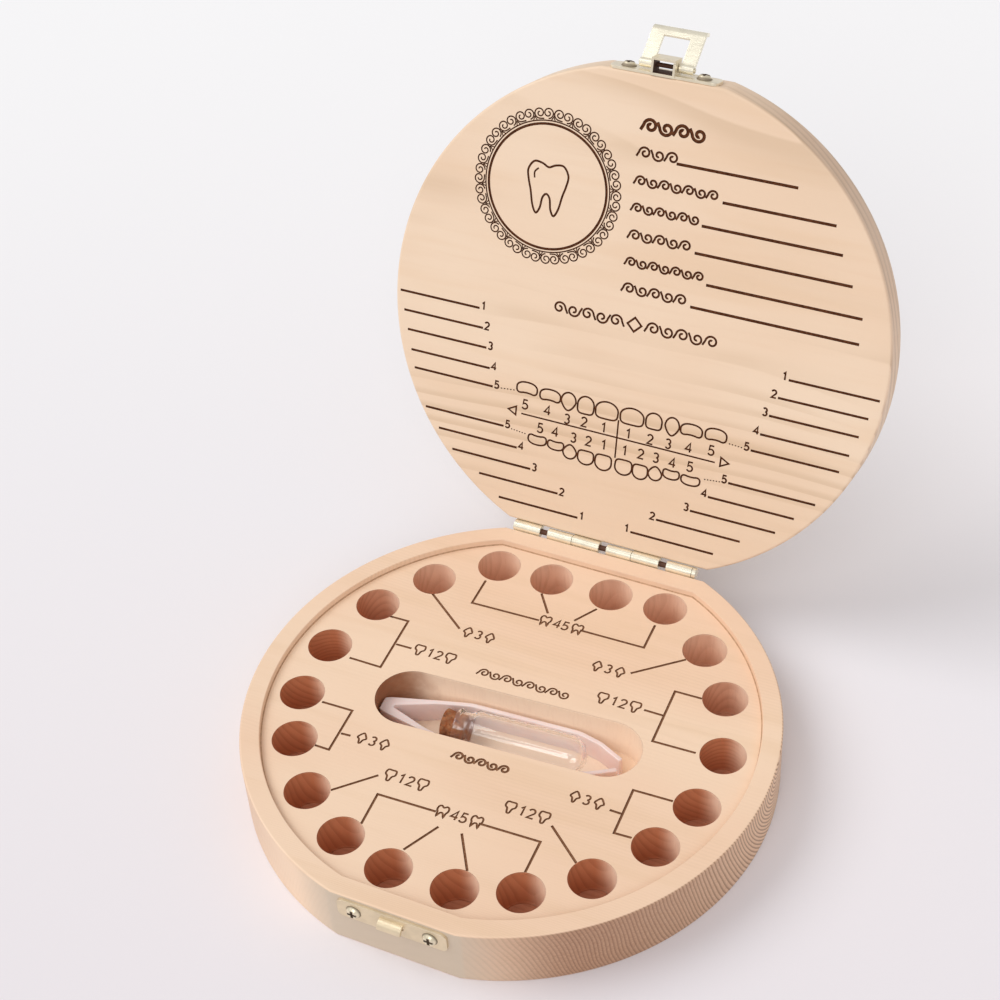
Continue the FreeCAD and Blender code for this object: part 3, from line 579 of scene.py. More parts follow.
def pine_look(name, pale, warm, pith, streak, pitch=PITCH, crowding=CROWDING, end_strength=1.0,
              front=None):
    """Sanded pine: faint long streaks on the faces, growth rings on the end grain.

    The front colour is painted shade on what faces straight to the front, which the key light
    barely reaches.
    """
    look = Look(name)
    late = late_wood(look, pith, pitch, crowding)

    clouds = look.noise(0.022, detail=2.0, stretch=(0.6, 1.3, 1.3))
    body = look.mix(look.between(clouds, 0.32, 0.68), pale, warm)
    strands = look.noise(0.55, detail=4.0, roughness=0.6, stretch=(0.045, 1.0, 1.0))
    body = look.mix(look.between(strands, 0.5, 0.8) * 0.10, body, (216, 176, 142))
    bands = look.noise(0.11, roughness=0.6, stretch=(0.10, 1.0, 1.0))
    body = look.mix(look.between(bands, 0.48, 0.70) * 0.30, body, (226, 192, 156))
    patches = look.noise(0.035, detail=2.0, stretch=(0.35, 1.6, 1.6))
    shown = look.between(patches, 0.44, 0.66) * streak
    body = look.mix(late * shown, body, (200, 170, 136))
    # Painted shade: faces that look straight to the front take the front colour.
    if front is not None:
        painted_front_shade = look.between(look.normal_part("Y"), -0.9, -0.99)
        body = look.mix(painted_front_shade * 0.8, body, front)

    # End grain on the -X side is shown only at 0.4: painted light from the key lamp on the left.
    facing = look.normal_part("X")
    ends = look.math("MAXIMUM", look.between(facing, 0.18, 0.62),
                     look.between(facing, -0.35, -0.9) * 0.4)
    fibre = look.noise(2.6, roughness=0.7, stretch=(0.3, 1.0, 1.0))
    fibre = look.between(fibre, 0.3, 0.75)
    # Painted light and shade on the end grain: darker where it faces the front, paler where it
    # faces the side.
    paler = look.between(look.normal_part("Y"), -0.85, 0.15)
    shaded_end_wood = look.mix(fibre, (191, 150, 122), (169, 128, 100))
    lit_end_wood = look.mix(fibre, (250, 218, 186), (234, 192, 158))
    end_wood = look.mix(late * (paler * 0.3 + 0.55), look.mix(paler, shaded_end_wood, lit_end_wood),
                        look.mix(paler, (124, 86, 62), (158, 114, 86)))
    body = look.mix(ends * end_strength, body, end_wood)

    pores = look.noise(1.9, detail=4.0, roughness=0.65, stretch=(0.06, 1.0, 1.0))
    look.bump(pores + late * 0.5, 0.05, 0.35)
    look.set_all({"Base Color": body, "Roughness": strands * 0.18 + 0.42,
                  "Specular IOR Level": 0.35})
    return look.material


def cut_look(name, pale, deep, facing, stripes, patch=None):
    """Milled walls inside the base: brown stripes on end grain, pale on side grain.

    Facing gives the two X parts of the normal between which side grain turns to end grain; where
    the range is wide, side grain turns brown too, as painted shade.
    The patch is a colour and the two X places between which it fades out.
    """
    look = Look(name)
    late = late_wood(look, PITH, CUT_PITCH)
    paler = look.between(look.part(look.place, "Y"), 14.0, 38.0) * 0.55
    ends = look.between(look.normal_part("X"), *facing) * (1.0 - paler)
    body = look.mix(ends, pale, deep)
    body = look.mix(late * ends * stripes, body, (128, 60, 34))
    fibre = look.noise(1.4, detail=4.0, roughness=0.7, stretch=(1.0, 1.0, 0.15))
    body = look.mix(look.between(fibre, 0.45, 0.8) * stripes, body, (186, 118, 82))
    if patch is not None:
        colour, start, end = patch
        shift = look.part(look.place, "X") + look.noise(0.16) * 9.0
        body = look.mix(look.between(shift, end, start), body, colour)
    look.bump(fibre, 0.08, 0.4)
    look.set_all({"Base Color": body, "Roughness": 0.6, "Specular IOR Level": 0.2})
    return look.material


def burn_and_shade_look(name, dark, light):
    """Lines burnt into the wood, and the painted shade line at the foot of the recess."""
    look = Look(name)
    soot = look.noise(1.3, detail=4.0, roughness=0.7)
    look.bump(soot, 0.06, 0.5)
    look.set_all({"Base Color": look.mix(look.between(soot, 0.35, 0.75), dark, light),
                  "Roughness": 0.8, "Specular IOR Level": 0.1})
    return look.material


METAL_SHARE = 0.65
DARKER = 0.9
DULLNESS = 0.4


def metal_look(name, colour, roughness=0.26, rounding=0.12):
    """Pale gold plating, with faint rolling marks and softly rounded edges.

    Returns the look, so that painted shade can be added. The rounding is in millimetres.
    """
    look = Look(name)
    marks = look.noise(1.4, detail=2.0, stretch=(0.15, 1.0, 1.0))
    clouds = look.noise(0.35, detail=2.0)
    darker = [DARKER * c for c in linear(*colour)[:3]] + [1.0]
    look.plating = look.mix(look.between(clouds, 0.35, 0.7), colour, darker)
    look.polish = marks * 0.16 + (roughness - 0.08)
    look.set_all({"Base Color": look.plating, "Roughness": look.polish, "Metallic": METAL_SHARE})
    edges = look.node("Bevel", {"Radius": rounding * MM}, samples=6)
    bump = look.bump(marks, 0.003, 0.08)
    look.give(bump.inputs["Normal"], edges.outputs["Normal"])
    return look


def paint_shade(look, share, shade):
    """Blends the plating into a painted shade colour by a share from 0 to 1, duller and less
    metallic.
    """
    look.set_all({"Base Color": look.mix(share, look.plating, shade),
                  "Metallic": (1.0 - share) * METAL_SHARE,
                  "Roughness": look.polish + share * DULLNESS})


def glass_look(name):
    """Clear glass with a few faint streaks left by the drawing. It lets shadow rays pass."""
    look = Look(name)
    waves = look.noise(0.12, detail=1.0, stretch=(0.3, 1.0, 1.0))
    look.bump(waves, 0.05, 0.15)
    look.set_all({"Base Color": (255, 255, 255), "Roughness": 0.0, "Transmission Weight": 1.0,
                  "IOR": 1.46, "Coat Weight": 0.35, "Coat IOR": 2.0, "Coat Roughness": 0.04})
    path = look.node("LightPath").outputs
    passing = look.math("MAXIMUM", path["Is Shadow Ray"], path["Is Diffuse Ray"])
    clear = look.node("BsdfTransparent").outputs[0]
    blend = look.node("MixShader", {0: passing, 1: look.shader.outputs[0], 2: clear})
    look.give(look.tree.nodes["Material Output"].inputs["Surface"], blend.outputs[0])
    return look.material


def cork_look(name):
    """Pressed cork: warm brown grains with dark pores."""
    look = Look(name)
    grains = look.noise(0.8, detail=4.0, roughness=0.65)
    body = look.mix(look.between(grains, 0.35, 0.7), (168, 114, 76), (132, 84, 52))
    pores = look.noise(1.5, detail=2.0, stretch=(0.7, 1.0, 1.6))
    body = look.mix(look.between(pores, 0.60, 0.68) * 0.85, body, (84, 44, 26))
    cells = look.node("TexVoronoi", {"Vector": look.place, "Scale": 0.9}).outputs["Distance"]
    body = look.mix(look.between(cells, 0.2, 0.9), body, (178, 138, 104), "SOFT_LIGHT")
    look.set_all({"Base Color": body, "Roughness": 0.85})
    look.bump(grains - pores, 0.22, 0.6)
    return look.material


def plastic_look(name):
    """Milky moulded plastic, slightly pink where it is thick."""
    look = Look(name)
    clouds = look.between(look.noise(0.06, detail=2.0), 0.35, 0.65)
    look.bump(look.noise(3.0, detail=2.0), 0.01, 0.3)
    look.set_all({"Base Color": look.mix(clouds, (243, 223, 218), (236, 211, 205)),
                  "Roughness": 0.32, "Subsurface Weight": 0.35,
                  "Subsurface Radius": (1.0, 0.7, 0.6), "Subsurface Scale": 2.0 * MM})
    return look.material


# ---------------- the base

# The base's front colour is painted shade on its front flat.
BASE_PINE = pine_look("base_pine", (243, 214, 186), (240, 206, 177), PITH, 0.10,
                      front=(196, 183, 164))
STEP_PINE = pine_look("step_pine", (240, 208, 180), (234, 198, 168), PITH, 0.2,
                      end_strength=0.0)
# Painted shade: a thin darker line along the rounded foot of the recess.
RECESS_FOOT_SHADE = burn_and_shade_look("recess_foot_painted_shade", (180, 142, 112), (208, 170, 138))
# The holes' wide facing range and brown colours are partly painted shade of their depth, and
# partly the real brown of end grain.
HOLE_WOOD_AND_SHADE = cut_look("hole_wood_and_shade", (246, 212, 186), (196, 126, 90),
                     (-0.75, 0.35), 0.22)
SLOT_WOOD = cut_look("slot_wood", (248, 222, 196), (240, 206, 170),
                     (0.1, 0.8), 0.10, ((158, 104, 74), -27.0, -14.0))
BASE_BURN = burn_and_shade_look("base_burn", (134, 92, 66), (166, 122, 90))

BASE_LINE = 0.58
BASE_FINE_LINE = 0.46
LABEL_HEIGHT = 2.9
DIGIT_ADVANCE = 2.1

LEADERS = [
    [(-32.3, 29.2), (-21.5, 20.8)],
    [(-22.1, 37.6), (-22.2, 29.6), (-5.2, 29.7)],
    [(-8.0, 38.1), (-4.1, 32.5)],
    [(6.1, 37.8), (2.5, 32.4)],
    [(4.9, 30.0), (20.6, 29.9), (20.6, 37.5)],
    [(-38.5, 18.9), (-33.8, 18.9), (-33.6, 3.4), (-41.6, 3.6)],
    [(-33.3, 11.2), (-29.4, 11.2)],
    [(-41.4, -10.8), (-33.8, -10.8), (-33.6, -22.9), (-37.1, -22.8)],
    [(-33.2, -17.7), (-30.9, -17.6)],
    [(30.8, 29.7), (20.5, 21.4)],
    [(38.0, 19.7), (31.7, 19.7), (31.9, 4.2), (41.8, 4.3)],
    [(27.1, 12.1), (31.5, 12.0)],
    [(-28.1, -33.0), (-20.2, -25.6)],
    [(-17.9, -38.9), (-18.1, -30.4), (-4.4, -30.3)],
    [(-6.6, -41.9), (-2.2, -33.8)],
    [(8.1, -42.2), (3.1, -33.7)],
    [(5.4, -30.0), (19.4, -29.9), (19.4, -38.6)],
    [(20.0, -25.1), (28.8, -32.7)],
    [(41.6, -10.0), (32.7, -10.1), (32.9, -22.3), (36.8, -22.2)],
    [(29.9, -16.9), (32.5, -17.0)],
]
INCISORS = (1, 2)
CANINE = (3,)
MOLARS = (4, 5)
BASE_LABELS = [
    (CANINE, (-16.5, 20.5)), (MOLARS, (0.2, 30.1)), (INCISORS, (-23.6, 11.4)),
    (CANINE, (-25.5, -17.3)), (INCISORS, (-14.0, -24.7)), (MOLARS, (0.8, -29.8)),
    (INCISORS, (13.8, -23.7)), (CANINE, (24.5, -16.1)), (INCISORS, (21.1, 12.2)),
    (CANINE, (15.4, 20.9)),
]
SLOT_SCROLLS = [((-12.0, 10.0), (10.4, 10.0), 8, 0.46), ((-7.4, -14.6), (6.1, -14.6), 5, 0.58)]
TOOTH_WIDTHS = {INCISORS: 2.3, CANINE: 2.2, MOLARS: 2.5}
TOOTH_SHAPES = {
    INCISORS: mirrored([(0.0, 0.5), (0.42, 0.48), (0.5, 0.1), (0.24, -0.12), (0.12, -0.5)]),
    CANINE: mirrored([(0.0, 0.5), (0.34, 0.22), (0.46, 0.0), (0.22, -0.16), (0.08, -0.5)]),
    MOLARS: mirrored([(0.0, 0.36), (0.24, 0.5), (0.46, 0.4), (0.5, 0.1), (0.38, -0.12),
                      (0.32, -0.5), (0.12, -0.16)]),
}
TOOTH_GAP = 1.2


def hole_centres():
    """Centres of the twenty holes for teeth."""
    places = [(side * x, BACK_ROW_Y) for x in BACK_ROW_X for side in (1, -1)]
    for angle in RING_ANGLES:
        x, y = polar(RING_RADIUS, math.radians(angle))
        places += [(x, y), (-x, y)]
    return turned(places, PATTERN_TURN)


def add_label(engraving, digits, centre):
    """The numbers of the places in the row, between two small teeth."""
    width = TOOTH_WIDTHS[digits]
    middle = DIGIT_ADVANCE * len(digits) + TOOTH_GAP
    for side in (-1, 1):
        shift = side * (middle + width) / 2
        tooth = [(centre[0] + shift + width * x, centre[1] + LABEL_HEIGHT * y)
                 for x, y in smooth_curve(TOOTH_SHAPES[digits], 3)]
        engraving.stroke(turned(tooth, PATTERN_TURN), BASE_FINE_LINE, closed=True)
    for i, digit in enumerate(digits):
        x = centre[0] + DIGIT_ADVANCE * (i - (len(digits) - 1) / 2)
        place = turned([(x, centre[1])], PATTERN_TURN)[0]
        write_number(engraving, digit, place, LABEL_HEIGHT - BASE_FINE_LINE, BASE_FINE_LINE,
                     turn=PATTERN_TURN)


def base_engraving():
    """The leader lines from the holes to their numbers, and two scrolls at the pocket."""
    engraving = Engraving()
    for leader in LEADERS:
        engraving.stroke(turned(leader, PATTERN_TURN), BASE_LINE)
    for digits, centre in BASE_LABELS:
        add_label(engraving, digits, centre)
    for start, end, count, width in SLOT_SCROLLS:
        for chain in running_scroll(start, end, LABEL_HEIGHT, count):
            engraving.stroke(turned(chain, PATTERN_TURN), width)
    return engraving


def board_sides(shell, height, edge):
    """The outside of a board from its underside to its top edge. Returns the top ring."""
    rounding = rounded_corner()
    profile = [(edge * i, edge * (1 - u)) for i, u in reversed(rounding)]
    profile += [(0.0, edge * 2), (0.0, height - edge * 2)]
    profile += [(edge * i, height - edge * (1 - u)) for i, u in rounding]
    under, top = shell.walls(board_outline, profile, [PLAIN] * len(profile))
    shell.face(list(reversed(under)))
    return top


def sunk_hole(shell, outline, levels, look):
    """A hole with its floor, from its mouth in the recess down. Returns the mouth's ring."""
    mouth = [(-HOLE_CHAMFER, RECESS_FLOOR), (0.0, RECESS_FLOOR - HOLE_CHAMFER),
             (0.0, RECESS_FLOOR - 3 * HOLE_CHAMFER)]
    upward = list(reversed(mouth + levels))
    floor, top = shell.walls(outline, upward, [look] * len(upward))
    shell.face(floor, look)
    return top


def make_base():
    """The base board with its recess, holes, pocket and lines."""
    shell = Shell()
    outer = board_sides(shell, BASE_TOP, BASE_EDGE)
    lip, corner = RECESS_LIP, RECESS_CORNER
    levels = [(RIM_WIDTH - lip, BASE_TOP),
              (RIM_WIDTH - lip * CORNER_MIDDLE, BASE_TOP - lip * CORNER_MIDDLE),
              (RIM_WIDTH, BASE_TOP - lip), (RIM_WIDTH, RECESS_FLOOR + corner),
              (RIM_WIDTH + corner * CORNER_MIDDLE, RECESS_FLOOR + corner * CORNER_MIDDLE),
              (RIM_WIDTH + corner, RECESS_FLOOR)]
    # The two bands of the recess's rounded foot take painted shade.
    rim, recess = shell.walls(board_outline, levels, (STEP, STEP, STEP, CORNER, CORNER))
    shell.band(outer, rim, smooth=False)

    holes = []
    levels = [(0.0, HOLE_FLOOR + HOLE_CORNER),
              (HOLE_CORNER * CORNER_MIDDLE, HOLE_FLOOR + HOLE_CORNER * CORNER_MIDDLE),
              (HOLE_CORNER, HOLE_FLOOR)]
    for centre in hole_centres():
        def outline(inset, centre=centre):
            return ring_outline(HOLE_RADIUS - inset, centre)
        holes.append(sunk_hole(shell, outline, levels, HOLE_WALL))
    # The pocket's floor lies at the top of its corner, which is tucked in under it.
    levels = [(0.0, SLOT_FLOOR + SLOT_CORNER)]
    levels += [(SLOT_CORNER * i, SLOT_FLOOR + SLOT_CORNER * (1 - u))
               for u, i in reversed(rounded_corner())][1:]
    holes.append(sunk_hole(shell, slot_outline, levels, SLOT_WALL))
    carved_face(shell, recess, holes, base_engraving(), RECESS_FLOOR)
    piece = shell.build("base_board", [BASE_PINE, BASE_BURN, HOLE_WOOD_AND_SHADE, SLOT_WOOD, STEP_PINE,
                                       RECESS_FOOT_SHADE])
    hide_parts("base_block")
    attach(piece, "base")


# ---------------- the lid

LID_PINE = pine_look("lid_pine", (239, 215, 189), (235, 207, 179), LID_PITH, 0.40,
                     pitch=LID_PITCH, crowding=0.0, end_strength=0.3)
LID_BURN = burn_and_shade_look("lid_burn", (84, 46, 26), (122, 74, 46))

LID_LINE = 0.68
RECORD_LINE = 0.58
CHART_LINE = 0.44
NUMBER_HEIGHT = 1.8
CHART_NUMBER_HEIGHT = 2.3
CHART_NUMBER_LINE = 0.42
CHART_RULE = 0.4
LABEL_LINE = 0.5

PROFILE_LINES = [(-40.2, 5.7, 33.4), (-33.7, 17.2, 42.9), (-27.6, 13.2, 45.3),
                 (-21.2, 12.4, 48.5), (-14.5, 16.0, 51.8), (-8.7, 13.0, 52.0)]
PROFILE_MARKS = [(-41.2, 6.3), (-34.8, 16.4), (-28.6, 12.8), (-22.3, 11.7), (-16.0, 15.5),
                 (-9.8, 12.3)]
PROFILE_LEFT = -3.4
PROFILE_SCROLL = 2.9
TITLE_PLACE = (4.4, -47.3)
TITLE_HALF = 7.5
TITLE_HEIGHT = 4.0
TITLE_LINE = 0.75
MIDDLE_PLACE = (0.5, -1.6)
MIDDLE_FROM = 2.8
MIDDLE_LENGTH = 17.5
MIDDLE_HEIGHT = 3.4
DIAMOND = 1.7

RECORD_LENGTH = 20.8
UPPER_ROWS = (3.0, 7.7, 12.4, 17.3, 21.7)
LOWER_ROWS = (49.7, 44.8, 40.3, 35.7, 31.0)
UPPER_RIGHT = (37.8, 36.0, 34.6, 33.2, 31.6)
LOWER_RIGHT = (5.6, 11.5, 19.4, 23.2, 27.5)
UPPER_LEFT = (-38.0, -36.7, -35.4, -34.1, -32.9)
LOWER_LEFT = (-8.0, -13.7, -21.3, -25.3, -29.2)
RECORD_NUMBER_LINE = 0.44
RECORD_NUMBER_GAP = 1.0
RECORD_NUMBER_RISE = 0.7

MEDALLION = (-24.0, -29.1)
MEDALLION_INNER = 14.4
MEDALLION_THIN = 15.15
MEDALLION_MIDDLE = 16.75
MEDALLION_STEPS = 96
MEDALLION_BOLD_LINE = 0.6
MEDALLION_FINE_LINE = 0.32
SCROLL_COUNT = 22
SCROLL_RADIUS = 1.22
SCROLL_HALF_GAP = 1.02
SCROLL_TURNS = 1.25
SCROLL_END = 0.22
SCROLL_STEPS = 24
WEDGE_HALF = 0.5
WEDGE_HEIGHT = 0.95
WEDGE_LINE = 0.26
EMBLEM_LINE = 0.5
SHINE_LINE = 0.4

UPPER_TEETH = [(-24.1, 20.1, 5.6, 3.1), (-18.1, 20.5, 5.6, 3.1), (-13.4, 20.8, 4.0, 4.5),
               (-9.0, 20.7, 4.4, 4.4), (-3.7, 20.7, 6.0, 4.3), (2.6, 20.7, 6.2, 4.1),
               (8.0, 20.5, 4.2, 4.0), (12.5, 20.7, 3.7, 4.5), (17.2, 20.5, 5.6, 3.1),
               (23.1, 20.2, 5.5, 3.2)]
LOWER_TEETH = [(-20.3, 32.4, 5.0, 2.6), (-15.5, 32.6, 4.4, 2.4), (-11.8, 33.3, 3.7, 3.6),
               (-7.7, 33.8, 4.3, 3.5), (-3.2, 33.9, 4.4, 3.9), (1.9, 33.8, 4.5, 3.8),
               (6.1, 33.9, 4.0, 3.6), (9.8, 33.3, 3.6, 3.5), (13.7, 32.5, 4.3, 2.5),
               (18.5, 32.8, 4.9, 2.5)]
UPPER_NUMBERS = [(-24.2, 24.2), (-18.5, 24.3), (-13.3, 25.2), (-9.0, 24.9), (-4.0, 25.1),
                 (2.2, 25.1), (7.6, 25.1), (12.1, 25.1), (17.0, 24.8), (22.5, 24.1)]
LOWER_NUMBERS = [(-19.8, 29.2), (-16.0, 29.2), (-11.2, 29.5), (-7.4, 29.4), (-3.5, 29.4),
                 (1.8, 29.5), (5.8, 29.3), (9.6, 29.3), (13.6, 29.5), (18.0, 29.4)]
CHART_ORDER = (5, 4, 3, 2, 1, 1, 2, 3, 4, 5)
CHART_MIDLINE = [(-25.0, 26.7), (23.7, 26.8)]
CHART_UPRIGHT = [(-0.6, 22.3), (-0.4, 31.9)]
CHART_MARKS = [(-27.3, -1), (25.9, 1)]
CHART_MARK = [(-0.9, 25.2), (1.1, 26.3), (-0.9, 27.4)]
CHART_DOTS = [((-31.0, 21.6), (-27.0, 21.2)), ((26.2, 21.4), (29.8, 21.6)),
              ((-27.4, 31.2), (-23.2, 31.6)), ((21.6, 31.6), (25.8, 31.2))]
DOT_PITCH = 0.75
DOT_LINE = 0.28
CHART_TOOTH_STEPS = 32
CHART_TOOTH_HALF = 0.47
NOTCH_WIDTH = 0.45

# Powers of the outer half across and along, power of the inner half, narrowing and notch.
CHART_SHAPES = {
    INCISORS: ((2.0, 2.0), 4.5, 0.06, 0.0),
    CANINE: ((2.0, 2.0), 1.9, 0.30, 0.0),
    MOLARS: ((2.4, 2.2), 3.2, 0.0, 0.30),
}


def chart_tooth(place, digit, row_side):
    """One tooth of the chart. The row side is -1 for the upper row and 1 for the lower row."""
    u, v, width, height = place
    shape = next(shape for digits, shape in CHART_SHAPES.items() if digit in digits)
    outer, inner, narrowing, notch = shape
    points = []
    for i in range(CHART_TOOTH_STEPS):
        c, s = polar(1.0, math.tau * i / CHART_TOOTH_STEPS)
        inward = max(0.0, -s * row_side)
        x_power, y_power = (inner, inner) if inward else outer
        x = math.copysign(abs(c) ** (2 / x_power), c) * (1 - narrowing * inward)
        y = math.copysign(abs(s) ** (2 / y_power), s)
        bite = notch * inward * math.exp(-(c / NOTCH_WIDTH) ** 2)
        points.append((u + CHART_TOOTH_HALF * width * x, v + height / 2 * y * (1 - bite)))
    return points


def double_scroll():
    """One motif of the round border, about its middle: two curls joined by an inner bow."""
    radius, half = SCROLL_RADIUS, SCROLL_HALF_GAP
    bow = arc_points((half, 0.0), radius, -90, 0, 6)[:-1]
    curl = volute((half, 0.0), radius, 0.0, SCROLL_TURNS, 1, SCROLL_END, SCROLL_STEPS)
    right = [(0.0, -radius)] + bow + curl
    left = [(-x, y) for x, y in reversed(right)]
    return left[:-1], right


def engrave_medallion(engraving):
    """The round frame: a bold ring, a thin ring and a border of scrolls."""
    for radius, line in ((MEDALLION_INNER, MEDALLION_BOLD_LINE),
                         (MEDALLION_THIN, MEDALLION_FINE_LINE)):
        engraving.stroke(ring_outline(radius, MEDALLION, MEDALLION_STEPS), line, closed=True)
    motif = [[(x, MEDALLION_MIDDLE + y) for x, y in half] for half in double_scroll()]
    wedge = [(-WEDGE_HALF, MEDALLION_THIN), (WEDGE_HALF, MEDALLION_THIN),
             (0.0, MEDALLION_THIN + WEDGE_HEIGHT)]
    for k in range(SCROLL_COUNT):
        turn = math.tau * k / SCROLL_COUNT - math.pi / 2
        for half in motif:
            engraving.stroke(turned(half, turn, MEDALLION), MEDALLION_FINE_LINE)
        turn += math.pi / SCROLL_COUNT
        engraving.stroke(turned(wedge, turn, MEDALLION), WEDGE_LINE, closed=True)


def engrave_tooth_emblem(engraving):
    """A plain molar with two roots in the middle of the round frame."""
    crown = mirrored([(0.0, -4.6), (1.6, -5.3), (3.6, -5.4), (4.9, -3.4), (4.6, -1.0), (3.9, 1.4),
                      (3.2, 4.6), (2.2, 6.4), (1.3, 5.0), (0.9, 2.6), (0.0, 1.6)])
    shine = [(-3.2, -1.6), (-3.3, -3.0), (-2.4, -4.0)]
    engraving.stroke(turned(smooth_curve(crown, 5), 0.0, MEDALLION), EMBLEM_LINE, closed=True)
    engraving.stroke(turned(smooth_curve(shine, 4, closed=False), 0.0, MEDALLION), SHINE_LINE)


def engrave_records(engraving):
    """The numbered lines for the dates, at both sides of the chart."""
    columns = [(UPPER_ROWS, UPPER_RIGHT, 1), (LOWER_ROWS, LOWER_RIGHT, 1),
               (UPPER_ROWS, UPPER_LEFT, -1), (LOWER_ROWS, LOWER_LEFT, -1)]
    for rows, starts, side in columns:
        for digit, v, u in zip(DIGITS, rows, starts):
            engraving.stroke([(u, v), (u + side * RECORD_LENGTH, v)], RECORD_LINE)
            place = (u - side * RECORD_NUMBER_GAP, v - RECORD_NUMBER_RISE)
            write_number(engraving, digit, place, NUMBER_HEIGHT, RECORD_NUMBER_LINE, up=-1)


def engrave_dots(engraving, start, end):
    """A dotted line."""
    start, end = Vector(start), Vector(end)
    count = max(2, round((end - start).length / DOT_PITCH))
    for i in range(count):
        dash = [start.lerp(end, (i + share) / count) for share in (0.2, 0.7)]
        engraving.stroke(dash, DOT_LINE)


def engrave_chart(engraving):
    """The two rows of milk teeth with their numbers, rules and marks."""
    for row, side in ((UPPER_TEETH, -1), (LOWER_TEETH, 1)):
        for place, digit in zip(row, CHART_ORDER):
            engraving.stroke(chart_tooth(place, digit, side), CHART_LINE, closed=True)
    for places in (UPPER_NUMBERS, LOWER_NUMBERS):
        for digit, place in zip(CHART_ORDER, places):
            write_number(engraving, digit, place, CHART_NUMBER_HEIGHT, CHART_NUMBER_LINE, up=-1)
    for rule in (CHART_MIDLINE, CHART_UPRIGHT):
        engraving.stroke(rule, CHART_RULE)
    for u, side in CHART_MARKS:
        mark = [(u + side * x, v) for x, v in CHART_MARK]
        engraving.stroke(mark, CHART_NUMBER_LINE, closed=True)
    for start, end in CHART_DOTS:
        engrave_dots(engraving, start, end)


def engrave_headings(engraving):
    """Scrolls at the heads of the ruled lines, and two ornaments."""
    for v, start, end in PROFILE_LINES:
        engraving.stroke([(start, v), (end, v)], LID_LINE)
    for v, end in PROFILE_MARKS:
        count = max(3, round((end - PROFILE_LEFT) / PROFILE_SCROLL))
        for chain in running_scroll((PROFILE_LEFT, v), (end, v), PROFILE_SCROLL, count, up=-1):
            engraving.stroke(chain, LABEL_LINE)
    u, v = TITLE_PLACE
    for chain in running_scroll((u - TITLE_HALF, v), (u + TITLE_HALF, v), TITLE_HEIGHT, 4, up=-1):
        engraving.stroke(chain, TITLE_LINE)
    u, v = MIDDLE_PLACE
    for side in (-1, 1):
        for chain in running_scroll((0.0, 0.0), (MIDDLE_LENGTH, 0.0), MIDDLE_HEIGHT, 5, up=-1):
            engraving.stroke([(u + side * (MIDDLE_FROM + x), v + y) for x, y in chain], LABEL_LINE)
    diamond = [(u - DIAMOND, v), (u, v - DIAMOND), (u + DIAMOND, v), (u, v + DIAMOND)]
    engraving.stroke(diamond, LABEL_LINE, closed=True)


def lid_engraving():
    """Everything that is cut into the inner face of the lid."""
    engraving = Engraving()
    engrave_medallion(engraving)
    engrave_tooth_emblem(engraving)
    engrave_headings(engraving)
    engrave_records(engraving)
    engrave_chart(engraving)
    return engraving


def open_lid_place():
    """The turn that carries the shut lid to its open rest."""
    hinge = joint("lid_hinge")
    pivot = Vector(hinge["pos_m"])
    turn = Matrix.Rotation(math.radians(-hinge["range_deg"][0]), 4, Vector(hinge["axis"]))
    return Matrix.Translation(pivot) @ turn @ Matrix.Translation(-pivot)


def make_lid():
    """The lid board. It is drawn with its inner face up, then turned over."""
    shell = Shell()
    outer = board_sides(shell, LID_THICKNESS, LID_EDGE)
    carved_face(shell, outer, [], lid_engraving(), LID_THICKNESS)
    top = BASE_TOP + LID_GAP + LID_THICKNESS
    shell.points = [(x, y, top - z) for x, y, z in shell.points]
    shell.flipped()
    piece = shell.build("lid_board", [LID_PINE, LID_BURN], open_lid_place())
    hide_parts("lid_panel")
    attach(piece, "lid")


# ---------------- bottle and cork

GLASS_LOW, GLASS_HIGH = corners("vial_glass")
BOTTLE_RADIUS = (GLASS_HIGH.z - GLASS_LOW.z) / 2
BOTTLE_AXIS_Z = (GLASS_HIGH.z + GLASS_LOW.z) / 2
BOTTLE_MOUTH = -12.3
BOTTLE_END = 18.5
BOTTLE_MIDDLE = 4.0
BOTTLE_WALL = 0.9
LIP_LENGTH = 1.1
LIP_RADIUS = 4.25
LIP_ROUND = 0.45
LIP_STEP = 0.12
MOUTH_ROUND = 0.3
NECK_RADIUS = 3.9
NECK_END = -9.6
SHOULDER_END = -7.6
SHOULDER_FLAT = 0.5
SHOULDER_STEPS = 10
SHOULDER_SHIFT = 0.4
NECK_SHIFT = 0.2
END_ROUND = 4.6
BORE_RADIUS = 3.3
BORE_INNER = 3.08
CORK_BACK = -15.3
CORK_FRONT = -9.5
CORK_BIG = 3.5
CORK_SMALL = 3.02
CORK_ROUND = 0.35
CORK_SLACK = 0.07
CORK_SQUEEZE = 0.02
CORK_CHAMFER = 0.3
CORK_END_INSET = 0.4
CORK_WAVES = [(0.035, 3, 1.7), (0.03, 7, -2.3)]
LATHE_STEPS = 96


